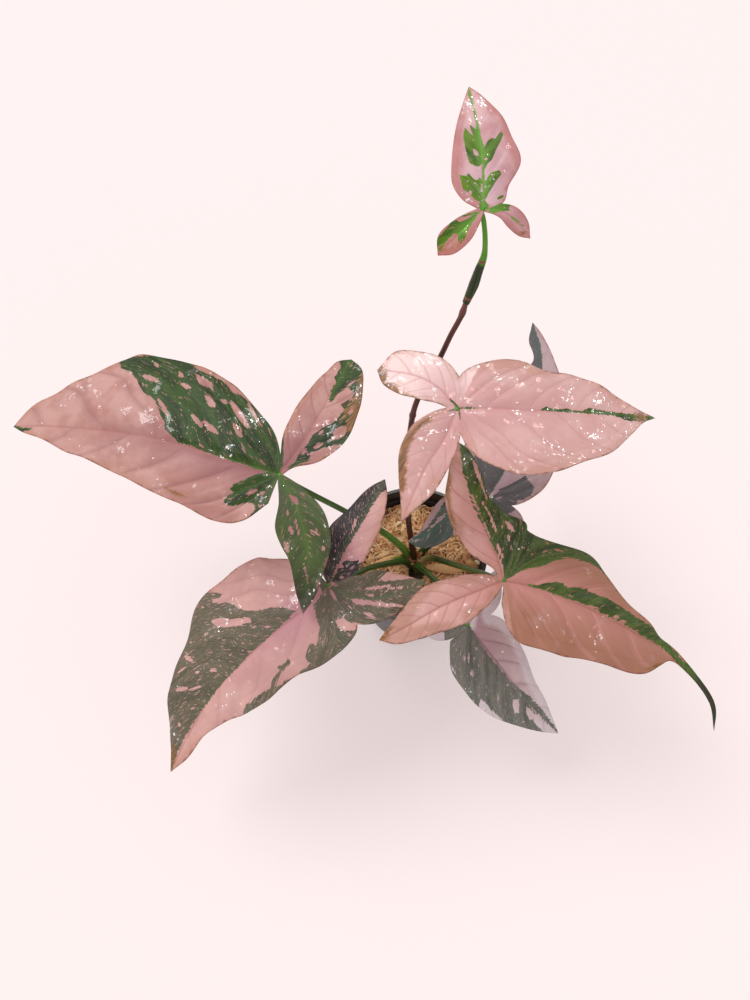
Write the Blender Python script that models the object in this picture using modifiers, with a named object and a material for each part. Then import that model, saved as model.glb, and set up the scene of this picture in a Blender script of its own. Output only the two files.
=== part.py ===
"""Arrowhead plant: a pink and green variegated Syngonium in a 9 cm plastic nursery pot.

Lengths in this file are millimetres, and MM turns them into Blender's metres. The origin is the middle of
the pot's base, +Z is up, +Y is the back of the plant and +X its right. A leaf is one thin blade with three
lobes. Each lobe has a rib, drawn in the blade's plane, and half widths to the rib's left and right.
"""

import math
import random
from collections import namedtuple

import bmesh
import bpy
import numpy as np
from mathutils import Euler, Matrix, Vector
from mathutils.geometry import delaunay_2d_cdt

MM = 0.001
GAP = 0.3  # between neighbouring pieces

# Pot
POT_HEIGHT = 80.0
RIM_RADIUS = 45.0
BASE_RADIUS = 31.0
POT_WALL = 1.4
COLLAR_HEIGHT = 12.0
COLLAR_STEP = 1.6
LIP_HEIGHT = 1.8
LIP_DEPTH = 1.0
STEP_HEIGHT = POT_HEIGHT - COLLAR_HEIGHT
BODY_TOP_RADIUS = RIM_RADIUS - LIP_DEPTH - COLLAR_STEP
POT_SIDES = 60
DRAIN_HOLES = 6
DRAIN_HOLE_RADIUS = 4.0
DRAIN_HOLE_CIRCLE = 20.0
DRAIN_HOLE_TURN = 16.0  # degrees, of the first hole

# Substrate
SOIL_TOP = 66.0
SOIL_CHIPS = 84
CHIP_LENGTHS = (6.0, 15.0)
CHIP_WIDTHS = (1.6, 4.0)
CHIP_RISE = (0.4, 1.6)  # of a chip's middle over the substrate
CHIP_DEPTH = 5.0  # so that no chip leaves a pocket under it
CHIP_CLEAR_RADIUS = 9.0  # no chip is nearer to the crown than this
HOLE_DEPTH = 8.0
HOLE_SIDES = 16

# Stems
STEM_RADII = (1.9, 1.8, 1.6, 1.4)  # from its foot to its top node
SHEATH_RADII = (1.9, 2.6, 2.1, 1.3)  # of the top petiole, before its plain length
PETIOLE_RADIUS = 1.6
TOP_PETIOLE_RADIUS = 1.2
TUBE_STEP = 5.0  # between points along a tube
TUBE_RESOLUTION = 2

# Blades
BLADE_THICKNESS = 0.8
OUTLINE_STEP = 4.8
INSIDE_STEP = 7.5
RIB_SAMPLES = 40
FOLD_ROUNDING = 1.5  # how softly a blade folds at its rib
BLEND_ROUNDING = 2.0  # how softly one lobe runs into the next
HUB_RADIUS = 2.4  # of the ring of points that keeps a blade level over its petiole
HUB_CLEARANCE = 0.8  # from those points to the blade's edge
FLAT_REACH = 4.0  # the blade stays level about this far round its junction
WAVE_LENGTH = 34.0

# rib: points in the blade's plane, x to the blade's right and y towards its main tip
# margins: distance along the rib, half width to the left, half width to the right
# lift: slope away from the junction. droop: how fast that slope falls off. fold: slope up from the rib
Lobe = namedtuple("Lobe", "rib margins lift droop fold")
# junction: where the petiole meets the blade. turn: the blade's pitch, roll and heading in degrees
Leaf = namedtuple("Leaf", "junction turn wave main left right")

LEAVES = {
    "leaf_left": Leaf(
        junction=(-76, 5, 160),
        turn=(-4, -12, 76),
        wave=1.6,
        main=Lobe(
            rib=((0, 0), (3, 40), (6, 78), (6, 108), (5, 143), (3, 174)),
            margins=(
                (0, 17, 5), (10, 30, 21), (25, 34, 32), (45, 31, 44), (70, 28, 50), (98, 22, 51),
                (113, 18, 47), (128, 15, 34), (149, 8, 22), (164, 4, 11), (174, 0, 0),
            ),
            lift=0.14, droop=0.0013, fold=0.11,
        ),
        left=Lobe(
            rib=((0, 0), (-13, -12), (-28, -21), (-42, -26), (-67, -28)),
            margins=(
                (0, 1, 1), (6, 4, 4), (15, 8, 8), (28, 13, 14), (40, 13, 13), (52, 9, 9),
                (65, 6, 5), (75, 0, 0),
            ),
            lift=-0.02, droop=0.0030, fold=0.14,
        ),
        right=Lobe(
            rib=((0, 0), (20, -8), (48, -14), (78, -19)),
            margins=(
                (0, 1, 1), (8, 6, 5), (18, 11, 15), (35, 14, 21), (51, 12, 19), (66, 9, 14),
                (75, 7, 9), (80, 0, 0),
            ),
            lift=0.12, droop=0.0025, fold=0.14,
        ),
    ),
    "leaf_front_left": Leaf(
        junction=(-50, -44, 126),
        turn=(-22, 2, 137),
        wave=1.6,
        main=Lobe(
            rib=((0, 0), (2, 19), (7, 40), (11, 63), (14, 86), (13, 110), (10, 139)),
            margins=(
                (0, 20, 13), (8, 29, 30), (25, 30, 42), (46, 26, 46), (66, 25, 45), (81, 22, 34),
                (96, 15, 26), (111, 9, 20), (127, 6, 7), (141, 0, 0),
            ),
            lift=0.12, droop=0.0016, fold=0.11,
        ),
        left=Lobe(
            rib=((0, 0), (-17, -5), (-28, -18), (-35, -34)),
            margins=((0, 1, 2), (10, 10, 9), (19, 12, 14), (31, 14, 12), (42, 10, 6), (53, 0, 0)),
            lift=-0.40, droop=0.0015, fold=0.13,
        ),
        right=Lobe(
            rib=((0, 0), (4, -19), (8, -41), (13, -64)),
            margins=(
                (0, 1, 1), (5, 7, 5), (14, 11, 11), (29, 14, 12), (45, 9, 11), (58, 5, 6),
                (66, 0, 0),
            ),
            lift=0.20, droop=0.0030, fold=0.16,
        ),
    ),
    "leaf_upper_right": Leaf(
        junction=(16, 20, 198),
        turn=(-4, 12, -89),
        wave=1.2,
        main=Lobe(
            rib=((0, 0), (0, 21), (1, 41), (-1, 79), (-3, 109)),
            margins=(
                (0, 14, 11), (5, 21, 23), (15, 26, 30), (31, 29, 34), (46, 23, 32), (62, 21, 27),
                (77, 15, 22), (90, 8, 12), (100, 3, 4), (109, 0, 0),
            ),
            lift=0.14, droop=0.0024, fold=0.11,
        ),
        left=Lobe(
            rib=((0, 0), (-11, -8), (-19, -20), (-25, -39)),
            margins=((0, 2, 3), (10, 8, 11), (20, 12, 14), (32, 13, 14), (42, 9, 11), (48, 0, 0)),
            lift=0.08, droop=0.0050, fold=0.14,
        ),
        right=Lobe(
            rib=((0, 0), (16, -7), (31, -17), (55, -28)),
            margins=(
                (0, 2, 3), (8, 5, 12), (19, 8, 17), (31, 10, 16), (43, 9, 10), (53, 4, 4),
                (61, 0, 0),
            ),
            lift=0.03, droop=0.0045, fold=0.14,
        ),
    ),
    "leaf_lower_right": Leaf(
        junction=(44, -44, 132),
        turn=(-18, 4, -122),
        wave=1.4,
        main=Lobe(
            rib=(
                (0, 0), (-7, 18), (-12, 39), (-16, 61), (-20, 86), (-24, 101), (-23, 115), (-18, 141),
                (-7, 153),
            ),
            margins=(
                (0, 34, 13), (5, 32, 25), (15, 28, 31), (40, 29, 30), (53, 22, 27), (69, 13, 24),
                (87, 9, 20), (97, 4, 11), (108, 2, 4.5), (123, 2, 2), (148, 1.5, 1.5), (161, 0, 0),
            ),
            lift=0.16, droop=0.0018, fold=0.13,
        ),
        left=Lobe(
            rib=((0, 0), (-7, -8), (-26, -33), (-56, -62)),
            margins=(
                (0, 2, 6), (8, 5, 12), (18, 13, 20), (26, 16, 23), (36, 18, 14), (48, 17, 8),
                (62, 12, 8), (76, 6, 6), (84, 0, 0),
            ),
            lift=0.10, droop=0.0022, fold=0.14,
        ),
        right=Lobe(
            rib=((0, 0), (13, -9), (31, -21), (49, -30), (61, -37)),
            margins=(
                (0, 1, 2), (8, 6, 6), (18, 10, 10), (30, 13, 12), (43, 12, 13), (55, 9, 9),
                (66, 6, 4), (73, 0, 0),
            ),
            lift=0.05, droop=0.0045, fold=0.14,
        ),
    ),
    "leaf_bottom": Leaf(
        junction=(28, -55, 94),
        turn=(-28, 6, -135),
        wave=1.0,
        main=Lobe(
            rib=((0, 0), (2, 26), (3, 47), (2, 70), (0, 90)),
            margins=(
                (0, 8, 14), (6, 16, 19), (15, 19, 24), (33, 17, 25), (47, 12, 22), (62, 9, 15),
                (78, 4, 7), (90, 0, 0),
            ),
            lift=0.16, droop=0.0030, fold=0.12,
        ),
        left=Lobe(
            rib=((0, 0), (-16, -3), (-38, -9)),
            margins=((0, 1, 2), (8, 5, 6), (18, 8, 9), (28, 6, 7), (39, 0, 0)),
            lift=0.05, droop=0.0040, fold=0.14,
        ),
        right=Lobe(
            rib=((0, 0), (12, -12), (20, -34)),
            margins=((0, 2, 1), (8, 6, 6), (18, 9, 9), (30, 6, 7), (41, 0, 0)),
            lift=0.05, droop=0.0050, fold=0.14,
        ),
    ),
    "leaf_back": Leaf(
        junction=(41, 14, 120),
        turn=(2, 4, -17),
        wave=1.2,
        main=Lobe(
            rib=((0, 0), (5, 18), (10, 50), (12, 100), (4, 128), (-1, 147)),
            margins=(
                (0, 10, 10), (8, 20, 18), (21, 27, 25), (36, 30, 26), (62, 27, 24), (87, 17, 16),
                (108, 6, 9), (129, 5, 6), (142, 2, 3), (150, 0, 0),
            ),
            lift=0.20, droop=0.0017, fold=0.12,
        ),
        left=Lobe(
            rib=((0, 0), (-18, -12), (-29, -24), (-38, -28)),
            margins=((0, 2, 2), (8, 8, 9), (20, 12, 11), (30, 12, 8), (40, 8, 4), (48, 0, 0)),
            lift=-0.60, droop=0.0020, fold=0.12,
        ),
        right=Lobe(
            rib=((0, 0), (15, -13), (27, -30)),
            margins=((0, 2, 1), (8, 7, 6), (18, 10, 9), (30, 7, 7), (41, 0, 0)),
            lift=0.02, droop=0.0040, fold=0.14,
        ),
    ),
    "leaf_top": Leaf(
        junction=(24, 77, 272),
        turn=(27, -1, 8),
        wave=0.5,
        main=Lobe(
            rib=((0, 0), (2, 17), (3, 38), (3, 61)),
            margins=(
                (0, 3, 5), (4, 10, 10), (11, 14, 12), (21, 14, 18), (32, 12, 15), (42, 9, 12),
                (53, 4, 6), (61, 0, 0),
            ),
            lift=0.15, droop=0.0040, fold=0.14,
        ),
        left=Lobe(
            rib=((0, 0), (-9, -7), (-22, -16)),
            margins=((0, 1, 1), (7, 4, 4), (14, 6, 6), (22, 5, 6), (27, 0, 0)),
            lift=-0.05, droop=0.0100, fold=0.16,
        ),
        right=Lobe(
            rib=((0, 0), (11, -3), (22, -13)),
            margins=((0, 1, 1), (7, 3, 3), (14, 5, 5), (21, 4, 4), (26, 0, 0)),
            lift=-0.05, droop=0.0100, fold=0.16,
        ),
    ),
}

# Where each petiole of the crown goes on its way from its hole in the substrate to its blade
Petiole = namedtuple("Petiole", "leaf foot route")
CROWN_PETIOLES = {
    "petiole_left": Petiole(
        leaf="leaf_left", foot=(-5, 2),
        route=((-8, 3.5, 76), (-21, 6.5, 92), (-43.5, 4.5, 122), (-60, 4, 141)),
    ),
    "petiole_front_left": Petiole(
        leaf="leaf_front_left", foot=(-4.5, -4), route=((-9, -7, 77), (-28, -21, 98), (-42, -37, 116))
    ),
    "petiole_lower_right": Petiole(
        leaf="leaf_lower_right", foot=(5, -3), route=((10, -5, 78), (25, -20, 98), (37, -35, 119))
    ),
    "petiole_bottom": Petiole(
        leaf="leaf_bottom", foot=(1, -6.5), route=((3, -11, 77), (12, -29, 94), (22, -46, 96))
    ),
    "petiole_back": Petiole(
        leaf="leaf_back", foot=(4.5, 3.5), route=((10, 5.5, 76), (26, 10, 97), (37, 13, 111))
    ),
}
STEM_PATH = (
    (0, 0, 58), (0, 0, 66), (-0.5, 0.8, 69), (-5, 14, 100), (-6, 29, 128), (-5, 40, 150), (-2, 45, 172),
    (9, 57.5, 191), (14.5, 63, 204), (19, 66.5, 214), (21, 69, 221.5),
)
# This one leaves the climbing stem at a node
UPPER_PETIOLE_PATH = (
    (-3.7, 22.9, 119.5), (-1.7, 21.6, 120.6), (1, 22, 130), (3, 24, 148), (8, 23, 168), (14, 21.5, 184),
)
# This one carries the climbing stem on, as a sheath at first
TOP_PETIOLE_PATH = (
    (24, 71.5, 231), (25.5, 72.5, 239), (27.2, 73.5, 248), (26.6, 74.5, 257), (25.2, 77, 264.5),
)
SHOOT_PATH = ((-7, -1, 58), (-7, -1, 66), (-7.3, -1.1, 68.5), (-10, -2.5, 73), (-15, -4, 76))
SHOOT_RADII = (1.3, 1.3, 1.2, 0.3)
FOOT_RISE = 2.5  # a petiole leaves the substrate straight for this far


def smooth_path(points, step):
    """Points about a step apart on a smooth curve through the given points."""
    points = np.asarray(points, float)
    padded = np.vstack([2 * points[0] - points[1], points, 2 * points[-1] - points[-2]])
    pieces = []
    for a, b, c, d in zip(padded, padded[1:], padded[2:], padded[3:]):
        t = np.linspace(0, 1, 24, endpoint=False)[:, None]
        square = (2 * a - 5 * b + 4 * c - d) * t**2
        cube = (3 * b - a - 3 * c + d) * t**3
        pieces.append((2 * b + (c - a) * t + square + cube) / 2)
    dense = np.vstack(pieces + [points[-1:]])
    along = np.concatenate([[0], np.cumsum(np.linalg.norm(np.diff(dense, axis=0), axis=1))])
    count = max(2, round(along[-1] / step) + 1)
    even = np.linspace(0, along[-1], count)
    return np.column_stack([np.interp(even, along, column) for column in dense.T])


def rib_line(lobe):
    """The lobe's rib as evenly spaced points, and its length."""
    dense = smooth_path(lobe.rib, 0.5)
    along = np.concatenate([[0], np.cumsum(np.linalg.norm(np.diff(dense, axis=0), axis=1))])
    even = np.linspace(0, along[-1], RIB_SAMPLES)
    return np.column_stack([np.interp(even, along, column) for column in dense.T]), along[-1]


def along_and_across(points, lobe):
    """How far along the lobe's rib each point of the plane lies, and how far to the rib's right."""
    line, length = rib_line(lobe)
    step = length / (RIB_SAMPLES - 1)
    nearest = np.full(len(points), np.inf)
    along = np.zeros(len(points))
    across = np.zeros(len(points))
    last = RIB_SAMPLES - 2
    for i in range(last + 1):
        forward = (line[i + 1] - line[i]) / step
        offset = points - line[i]
        reach = np.clip(offset @ forward, -np.inf if i == 0 else 0, np.inf if i == last else step)
        side = offset[:, 0] * forward[1] - offset[:, 1] * forward[0]
        distance = np.linalg.norm(offset - reach[:, None] * forward, axis=1)
        closer = distance < nearest
        nearest[closer] = distance[closer]
        along[closer] = (i * step + reach)[closer]
        across[closer] = (np.sign(side) * distance)[closer]
    return along, across


def half_widths(lobe, along):
    """Smooth half widths to the left and right of the rib at these distances along it."""
    margins = np.asarray(lobe.margins, float)
    dense = smooth_path(margins, 1.0)
    return np.interp(along, dense[:, 0], dense[:, 1]), np.interp(along, dense[:, 0], dense[:, 2])


def lobe_outline(lobe, step):
    """The lobe's edge as a closed ring of points: out along its right side, and back along its left."""
    line, length = rib_line(lobe)
    count = max(8, round(length / step))
    along = length * (1 - np.cos(np.linspace(0, math.pi, count + 1))) / 2
    samples = np.linspace(0, length, RIB_SAMPLES)
    middle = np.column_stack([np.interp(along, samples, axis) for axis in line.T])
    forward = np.gradient(middle, axis=0)
    forward /= np.linalg.norm(forward, axis=1)[:, None]
    rightward = np.column_stack([forward[:, 1], -forward[:, 0]])
    scale = lobe.margins[-1][0] / length
    left, right = half_widths(lobe, along * scale)
    right_side = middle + rightward * right[:, None]
    left_side = middle - rightward * left[:, None]
    return np.vstack([right_side, left_side[-2::-1]])


def blade_height(points, leaf):
    """How high the blade's middle surface stands over its plane at these points."""
    total = np.zeros(len(points))
    weights = np.zeros(len(points))
    for phase, lobe in enumerate((leaf.main, leaf.left, leaf.right)):
        along, across = along_and_across(points, lobe)
        left, right = half_widths(lobe, np.clip(along, 0, None))
        behind = np.clip(-along, 0, None)
        along = np.clip(along, 0, None)
        fold = np.sqrt(across**2 + FOLD_ROUNDING**2) - FOLD_ROUNDING
        widest = max(max(row[1:]) for row in lobe.margins)
        rise = along - FLAT_REACH * (1 - np.exp(-along / FLAT_REACH))
        height = lobe.lift * rise - lobe.droop * along**2 + lobe.fold * (fold - across**2 / (widest + 10))
        width = np.where(across < 0, left, right) + 4
        ripple = np.sin(2 * math.pi * along / WAVE_LENGTH + 2 * phase + np.where(across < 0, 0, 2.1))
        height += leaf.wave * ripple * np.clip(np.abs(across) / width, 0, 1) ** 2
        weight = (across**2 + behind**2 + BLEND_ROUNDING**2) ** -1.5
        total += weight * height
        weights += weight
    return total / weights


def union_ring(leaf, step):
    """The outer edge of the three lobes together, as one ring of points in the blade's plane."""
    rings = [lobe_outline(lobe, step) for lobe in (leaf.main, leaf.left, leaf.right)]
    points = [Vector(point) for ring in rings for point in ring]
    starts = np.cumsum([0] + [len(ring) for ring in rings])
    edges = [
        (start + i, start + (i + 1) % len(ring))
        for start, ring in zip(starts, rings)
        for i in range(len(ring))
    ]
    corners, _, faces, *_ = delaunay_2d_cdt(points, edges, [], 1, 1e-4)
    sides = {}
    for face in faces:
        for a, b in zip(face, face[1:] + face[:1]):
            sides[(a, b)] = (b, a)
    following = {a: b for a, b in sides if (b, a) not in sides}
    ring = [min(following)]
    while following[ring[-1]] != ring[0]:
        ring.append(following[ring[-1]])
    return np.array([corners[i] for i in ring])


def without_crowding(ring, least):
    """The ring without the points that are nearer than this to the one before."""
    kept = [ring[0]]
    for point in ring[1:]:
        if np.linalg.norm(point - kept[-1]) >= least:
            kept.append(point)
    return np.array(kept)


def distance_to_ring(points, ring):
    """How far each point lies from the ring's nearest side."""
    best = np.full(len(points), np.inf)
    for a, b in zip(ring, np.roll(ring, -1, axis=0)):
        side = b - a
        reach = np.clip(((points - a) @ side) / (side @ side), 0, 1)
        best = np.minimum(best, np.linalg.norm(points - a - reach[:, None] * side, axis=1))
    return best


def inside_grid(ring, step):
    """Points of a triangular grid, and a few round the junction, that keep clear of the ring."""
    low, high = ring.min(axis=0) - step, ring.max(axis=0) + step
    rows = np.arange(low[1], high[1], step * math.sqrt(3) / 2)
    columns = np.arange(low[0], high[0], step)
    grid = np.array([(x + (row % 2) * step / 2, y) for row, y in enumerate(rows) for x in columns])
    turns = [math.radians(60 * i) for i in range(6)]
    spokes = [(HUB_RADIUS * math.cos(turn), HUB_RADIUS * math.sin(turn)) for turn in turns]
    hub = np.array([(0, 0), *spokes])
    grid = grid[np.linalg.norm(grid, axis=1) > HUB_RADIUS + 0.5 * step]
    grid = grid[distance_to_ring(grid, ring) > 0.55 * step]
    return np.vstack([grid, hub[distance_to_ring(hub, ring) > HUB_CLEARANCE]])


def blade_faces(leaf):
    """The blade as flat triangles in its plane: points and faces."""
    ring = without_crowding(union_ring(leaf, OUTLINE_STEP), 0.25 * OUTLINE_STEP)
    points = np.vstack([ring, inside_grid(ring, INSIDE_STEP)])
    edges = [(i, (i + 1) % len(ring)) for i in range(len(ring))]
    corners, _, faces, *_ = delaunay_2d_cdt([Vector(point) for point in points], edges, [], 1, 1e-4)
    used = sorted({corner for face in faces for corner in face})
    place = {corner: i for i, corner in enumerate(used)}
    return np.array([corners[i] for i in used]), [[place[corner] for corner in face] for face in faces]


def make_material(name, colour, roughness):
    material = bpy.data.materials.new(name)
    material.diffuse_color = (*colour, 1)
    material.use_nodes = True
    shader = material.node_tree.nodes["Principled BSDF"]
    shader.inputs["Base Color"].default_value = (*colour, 1)
    shader.inputs["Roughness"].default_value = roughness
    shader.inputs["Metallic"].default_value = 0.0
    return material


def add_object(name, data, collection, colour, roughness=0.5):
    """A new object in the collection, with a material of its own."""
    thing = bpy.data.objects.new(name, data)
    data.materials.clear()
    data.materials.append(make_material(name, colour, roughness))
    collection.objects.link(thing)
    return thing


def rounded_hole_cutter(name, place, radius, bottom, top, collection):
    """A round cutter from bottom to top."""
    mesh = bpy.data.meshes.new(name)
    shape = bmesh.new()
    size = {"radius1": radius * MM, "radius2": radius * MM, "depth": (top - bottom) * MM}
    bmesh.ops.create_cone(shape, cap_ends=True, segments=HOLE_SIDES, **size)
    shape.to_mesh(mesh)
    shape.free()
    cutter = bpy.data.objects.new(name, mesh)
    cutter.location = (place[0] * MM, place[1] * MM, (bottom + top) / 2 * MM)
    cutter.hide_render = True
    cutter.display_type = "WIRE"
    collection.objects.link(cutter)
    return cutter


def cut(thing, cutters):
    """Takes each cutter out of the thing."""
    for cutter in cutters:
        modifier = thing.modifiers.new(cutter.name, "BOOLEAN")
        modifier.operation = "DIFFERENCE"
        modifier.object = cutter
        modifier.solver = "EXACT"


def pot_radius(height):
    """The pot's outer radius at this height, below its collar."""
    return BASE_RADIUS + (BODY_TOP_RADIUS - BASE_RADIUS) * height / STEP_HEIGHT


def pot_inner_radius(height):
    return pot_radius(height) - POT_WALL


def make_pot(parts, cutters):
    """A thin tapered pot with a stepped collar, a lip at its rim and drain holes in its floor."""
    collar = RIM_RADIUS - LIP_DEPTH
    edge = 0.4
    profile = [
        (0, POT_WALL),
        (pot_inner_radius(POT_WALL), POT_WALL),
        (pot_inner_radius(STEP_HEIGHT), STEP_HEIGHT),
        (collar - POT_WALL, STEP_HEIGHT + COLLAR_STEP),
        (collar - POT_WALL, POT_HEIGHT),
        (RIM_RADIUS - edge, POT_HEIGHT),
        (RIM_RADIUS, POT_HEIGHT - edge),
        (RIM_RADIUS, POT_HEIGHT - LIP_HEIGHT),
        (collar, POT_HEIGHT - LIP_HEIGHT - edge),
        (collar, STEP_HEIGHT),
        (pot_radius(STEP_HEIGHT - COLLAR_STEP), STEP_HEIGHT - COLLAR_STEP),
        (pot_radius(1), 1),
        (BASE_RADIUS - 1, 0),
        (0, 0),
    ]
    mesh = bpy.data.meshes.new("pot")
    points = [(radius * MM, 0, height * MM) for radius, height in profile]
    mesh.from_pydata(points, [(i, i + 1) for i in range(len(points) - 1)], [])
    pot = add_object("pot", mesh, parts, (0.012, 0.013, 0.014), 0.42)
    turn = pot.modifiers.new("turn", "SCREW")
    turn.steps = POT_SIDES
    turn.render_steps = POT_SIDES
    turn.use_merge_vertices = True
    turn.merge_threshold = 0.0001
    turn.use_normal_flip = True
    holes = []
    for i in range(DRAIN_HOLES):
        angle = math.radians(DRAIN_HOLE_TURN + 360 * i / DRAIN_HOLES)
        place = (DRAIN_HOLE_CIRCLE * math.cos(angle), DRAIN_HOLE_CIRCLE * math.sin(angle))
        levels = (-POT_WALL, 2 * POT_WALL)
        holes.append(rounded_hole_cutter(f"drain_{i}", place, DRAIN_HOLE_RADIUS, *levels, cutters))
    cut(pot, holes)


def add_chip(shape, chance):
    """One flat sliver of husk, half sunk in the top of the substrate."""
    length = chance.uniform(*CHIP_LENGTHS)
    reach = pot_inner_radius(SOIL_TOP) - GAP - length / 2 - 2
    distance = math.sqrt(chance.uniform((CHIP_CLEAR_RADIUS + length / 2) ** 2, max(reach, 20) ** 2))
    angle = chance.uniform(0, 2 * math.pi)
    height = SOIL_TOP + chance.uniform(*CHIP_RISE) - CHIP_DEPTH / 2
    place = Vector((distance * math.cos(angle), distance * math.sin(angle), height))
    turn = Euler((chance.uniform(-0.3, 0.3), chance.uniform(-0.12, 0.12), chance.uniform(0, math.pi)))
    size = Matrix.Diagonal((length, chance.uniform(*CHIP_WIDTHS), CHIP_DEPTH, 1))
    where = Matrix.Scale(MM, 4) @ Matrix.Translation(place) @ turn.to_matrix().to_4x4() @ size
    bmesh.ops.create_cube(shape, size=1, matrix=where)


def make_slivers():
    """The slivers, each a small object of its own, in a collection that is there only for their union."""
    chance = random.Random(7)
    slivers = bpy.data.collections.new("slivers")
    bpy.context.scene.collection.children.link(slivers)
    for i in range(SOIL_CHIPS):
        shape = bmesh.new()
        add_chip(shape, chance)
        mesh = bpy.data.meshes.new(f"sliver_{i}")
        shape.to_mesh(mesh)
        shape.free()
        slivers.objects.link(bpy.data.objects.new(f"sliver_{i}", mesh))
    return slivers


def join_slivers(soil, slivers):
    """Fuses the slivers into the substrate, and removes them."""
    join = soil.modifiers.new("slivers", "BOOLEAN")
    join.operation = "UNION"
    join.operand_type = "COLLECTION"
    join.collection = slivers
    join.solver = "EXACT"
    apply_modifiers(soil)
    keep_largest_body(soil.data)
    for sliver in list(slivers.objects):
        bpy.data.objects.remove(sliver)
    bpy.data.collections.remove(slivers)


def make_soil(parts, cutters, holes):
    """The coarse husk that fills the pot, with slivers on its top and a plain hole for each stem."""
    bottom = POT_WALL + GAP
    shape = bmesh.new()
    bmesh.ops.create_cone(
        shape, cap_ends=True, segments=POT_SIDES, depth=(SOIL_TOP - bottom) * MM,
        radius1=(pot_inner_radius(bottom) - GAP) * MM, radius2=(pot_inner_radius(SOIL_TOP) - GAP) * MM,
    )
    bmesh.ops.translate(shape, verts=shape.verts, vec=(0, 0, (SOIL_TOP + bottom) / 2 * MM))
    body = bpy.data.meshes.new("substrate")
    shape.to_mesh(body)
    shape.free()
    soil = add_object("substrate", body, parts, (0.42, 0.26, 0.12), 0.9)
    join_slivers(soil, make_slivers())
    floor = SOIL_TOP - HOLE_DEPTH - GAP
    cut(soil, [
        rounded_hole_cutter(f"hole_{i}", place, radius + GAP, floor, SOIL_TOP + CHIP_DEPTH, cutters)
        for i, (place, radius) in enumerate(holes)
    ])


def apply_modifiers(thing):
    """Bakes the thing's modifiers into its mesh."""
    bpy.context.view_layer.update()
    evaluated = thing.evaluated_get(bpy.context.evaluated_depsgraph_get())
    mesh = bpy.data.meshes.new_from_object(evaluated)
    thing.modifiers.clear()
    thing.data = mesh


def keep_largest_body(mesh):
    """Drops every loose scrap and fills every sealed pocket that a union left."""
    shape = bmesh.new()
    shape.from_mesh(mesh)
    waiting = set(shape.verts)
    bodies = []
    while waiting:
        body = {waiting.pop()}
        edge_of_body = list(body)
        while edge_of_body:
            near = {edge.other_vert(vert) for vert in edge_of_body for edge in vert.link_edges} - body
            body |= near
            edge_of_body = list(near)
        waiting -= body
        bodies.append(body)
    largest = max(bodies, key=len)
    scraps = [vert for body in bodies if body is not largest for vert in body]
    bmesh.ops.delete(shape, geom=scraps, context="VERTS")
    shape.to_mesh(mesh)
    shape.free()


def make_tube(name, path, radii, parts, colour, roughness=0.4):
    """A round stem along a smooth path, whose radius runs from the first to the last of the given radii."""
    points = smooth_path(path, TUBE_STEP)
    curve = bpy.data.curves.new(name, "CURVE")
    curve.dimensions = "3D"
    curve.bevel_depth = MM
    curve.bevel_resolution = TUBE_RESOLUTION
    curve.use_fill_caps = True
    line = curve.splines.new("POLY")
    line.points.add(len(points) - 1)
    thickness = np.interp(np.linspace(0, 1, len(points)), np.linspace(0, 1, len(radii)), radii)
    for spot, point, radius in zip(line.points, points, thickness):
        spot.co = (*(point * MM), 1)
        spot.radius = radius
    return add_object(name, curve, parts, colour, roughness)


def leaf_turn(leaf):
    return Euler([math.radians(angle) for angle in leaf.turn])


def under_blade(leaf, depth):
    """The point this far below the underside of the blade at its junction."""
    down = leaf_turn(leaf).to_matrix() @ Vector((0, 0, -1))
    return Vector(leaf.junction) + down * (BLADE_THICKNESS / 2 + depth)


def make_leaf(name, leaf, parts):
    """A blade: its flat triangles raised to its waved form and thickened."""
    corners, faces = blade_faces(leaf)
    heights = blade_height(corners, leaf) - blade_height(np.zeros((1, 2)), leaf)
    mesh = bpy.data.meshes.new(name)
    mesh.from_pydata([(x * MM, y * MM, z * MM) for (x, y), z in zip(corners, heights)], [], faces)
    blade = add_object(name, mesh, parts, (0.62, 0.31, 0.26), 0.35)
    blade.location = Vector(leaf.junction) * MM
    blade.rotation_euler = leaf_turn(leaf)
    shell = blade.modifiers.new("thickness", "SOLIDIFY")
    shell.thickness = BLADE_THICKNESS * MM
    shell.offset = 0


def petiole_end(leaf, reach=5):
    """The last points of a petiole, which meets its blade's underside squarely, clear of its lobes."""
    steepest = max(abs(lobe.lift) for lobe in (leaf.main, leaf.left, leaf.right))
    return [tuple(under_blade(leaf, reach)), tuple(under_blade(leaf, GAP + steepest * 0.5))]


def past_end(path, reach):
    """The point this far past the end of a smooth path."""
    before, end = smooth_path(path, TUBE_STEP)[-2:]
    return tuple(end + (end - before) / np.linalg.norm(end - before) * reach)


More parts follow.
